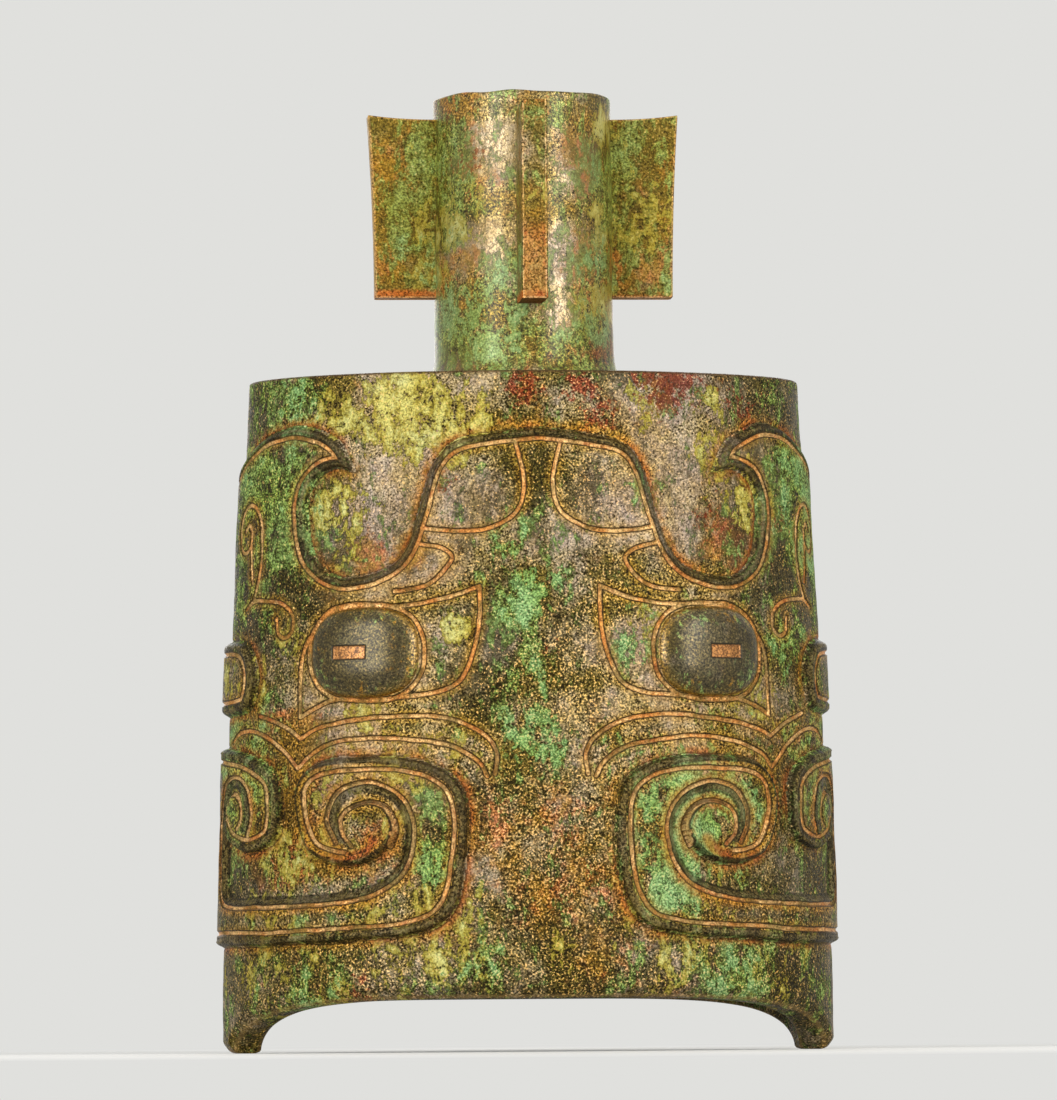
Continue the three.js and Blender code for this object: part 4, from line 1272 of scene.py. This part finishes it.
# Flanges: four upright fins cast on the stem, hollowed a little along the outer and top edges.
# They have blunt rounded edges. Orange earth lies along their foot.
flange_thickness = 0.0124
flange_inner = 0.038
flange_reach, flange_waist_reach = 0.0746, 0.0715
front_flange_extra = 0.006
flange_tip = stem_top - 0.0076
flange_root = stem_top - 0.0098
flange_foot = flange_tip - 0.0885
top_hollow_power = 2.5
flange_round = 0.0011
flange_unevenness = 0.0003
flange_columns = 110
face_samples, edge_samples = 56, 26
border_width, border_height = 0.0016, 0.0004
swept_foot = 0.003
flange_ochre = colour(148, 122, 40)
front_ochre = colour(140, 114, 50)
front_brown = colour(158, 106, 48)
front_rust = colour(136, 62, 30)

flange_patina = Patina("flange_patina", green=0.05, ochre=0.05, bare=-0.12, spotted=True)
fleck = flange_patina.fleck
flange_low, flange_border = flange_patina.gap("foot"), flange_patina.gap("border")
flange_patina.layer(0.25, flange_ochre)
flange_patina.layer((flange_low + fleck * 4).soft(7.5, 4.5) * 0.85, orange_earth)
flange_patina.layer((flange_border + fleck).soft(1.7, 1.2) * 0.5, gold_grain)
flange_patina.smooth = flange_patina.smooth.larger(0.4)
flange_patina.close(roughness=0.46, relief=0.4, metal=0.4)

front_flange_patina = Patina("front_flange_patina", green=0.03, ochre=0.08, bare=-0.12, spotted=True)
fleck, stain = front_flange_patina.fleck, front_flange_patina.stain
front_low, front_border = front_flange_patina.gap("foot"), front_flange_patina.gap("border")
front_flange_patina.layer(0.25, front_ochre)
front_flange_patina.layer((front_low + fleck * 4).soft(7.5, 4.5) * 0.85, orange_earth)
front_flange_patina.layer(
    (front_low + fleck * 16).soft(47, 38) * front_border.soft(20, 10) * 0.75,
    front_flange_patina.mix(stain.soft(0.48, 0.62), front_brown, front_rust),
)
# Painted shade: the underside of the foot of the front and back fins is darkened
front_flange_patina.layer(front_low.soft(0.4, 0.0) * 0.7, dark_bronze)
front_flange_patina.layer((front_border + fleck).soft(1.9, 1.3) * 0.6, gold_grain)
front_flange_patina.smooth = front_flange_patina.smooth.larger(0.3)
front_flange_patina.close(roughness=0.48, relief=0.4, metal=0.4)

# Loop: out along one face, across the outer edge and back along the other face
along_face = np.linspace(0, 1, face_samples)
across_edge = np.linspace(-1, 1, edge_samples)[1:-1]
loop_share = np.concatenate([along_face, np.ones(len(across_edge)), along_face[::-1]])
loop_side = np.concatenate([-np.ones(face_samples), across_edge, np.ones(face_samples)])
share_grid, up_grid = np.meshgrid(loop_share, np.linspace(0, 1, flange_columns), indexing="ij")
side_grid = np.repeat(loop_side[:, None], flange_columns, axis=1)
on_edge = abs(side_grid) < 1
half = flange_thickness / 2
sideways = half * side_grid
reach = flange_waist_reach + (flange_reach - flange_waist_reach) * up_grid**2
radial = flange_inner + (reach - flange_inner) * share_grid
top_edge = flange_root + (flange_tip - flange_root) * share_grid**top_hollow_power
for name, turn, extra, swept in (
    ("right", 0, 0.0, swept_foot),
    ("front", -90, front_flange_extra, 0.0),
    ("left", 180, 0.0, 0.0),
    ("back", 90, front_flange_extra, 0.0),
):
    foot = flange_foot - extra
    upright = foot + (top_edge - foot) * up_grid
    # Blunt edges: pull points near an edge in towards the middle of a small rounding
    core = np.stack(
        [np.minimum(radial, reach - flange_round),
         sideways.clip(flange_round - half, half - flange_round),
         upright.clip(foot + flange_round, top_edge - flange_round)], -1
    )
    offset = np.stack([radial, sideways, upright], -1) - core
    length = np.linalg.norm(offset, axis=-1, keepdims=True)
    local = core + offset / np.maximum(length, 1e-9) * np.minimum(length, flange_round)
    edge_distance = np.minimum(np.minimum(upright - foot, top_edge - upright), reach - radial)
    if extra:
        edge_distance = np.where(on_edge, np.minimum(half - abs(sideways), upright - foot), far_away)
        local[..., 0] -= border_height * ease(edge_distance, border_width, border_width * 1.5) * on_edge
    local[..., 1] += flange_unevenness * waves(local, 1) * ~on_edge
    angle = math.radians(turn)
    points = np.stack(
        [local[..., 0] * math.cos(angle) - local[..., 1] * math.sin(angle),
         local[..., 0] * math.sin(angle) + local[..., 1] * math.cos(angle), local[..., 2]], -1
    )
    flange = grid_mesh(
        f"{name}_fin",
        points,
        attributes={"foot": upright - foot + swept, "border": edge_distance} | patch_amounts(points),
        strip_ends=True,
    )
    flange.data.materials.append((front_flange_patina if extra else flange_patina).material)
    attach(flange, "root")
    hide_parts(f"{name}_flange")

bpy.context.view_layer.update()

scene = bpy.context.scene
scene.view_settings.view_transform = "Standard"
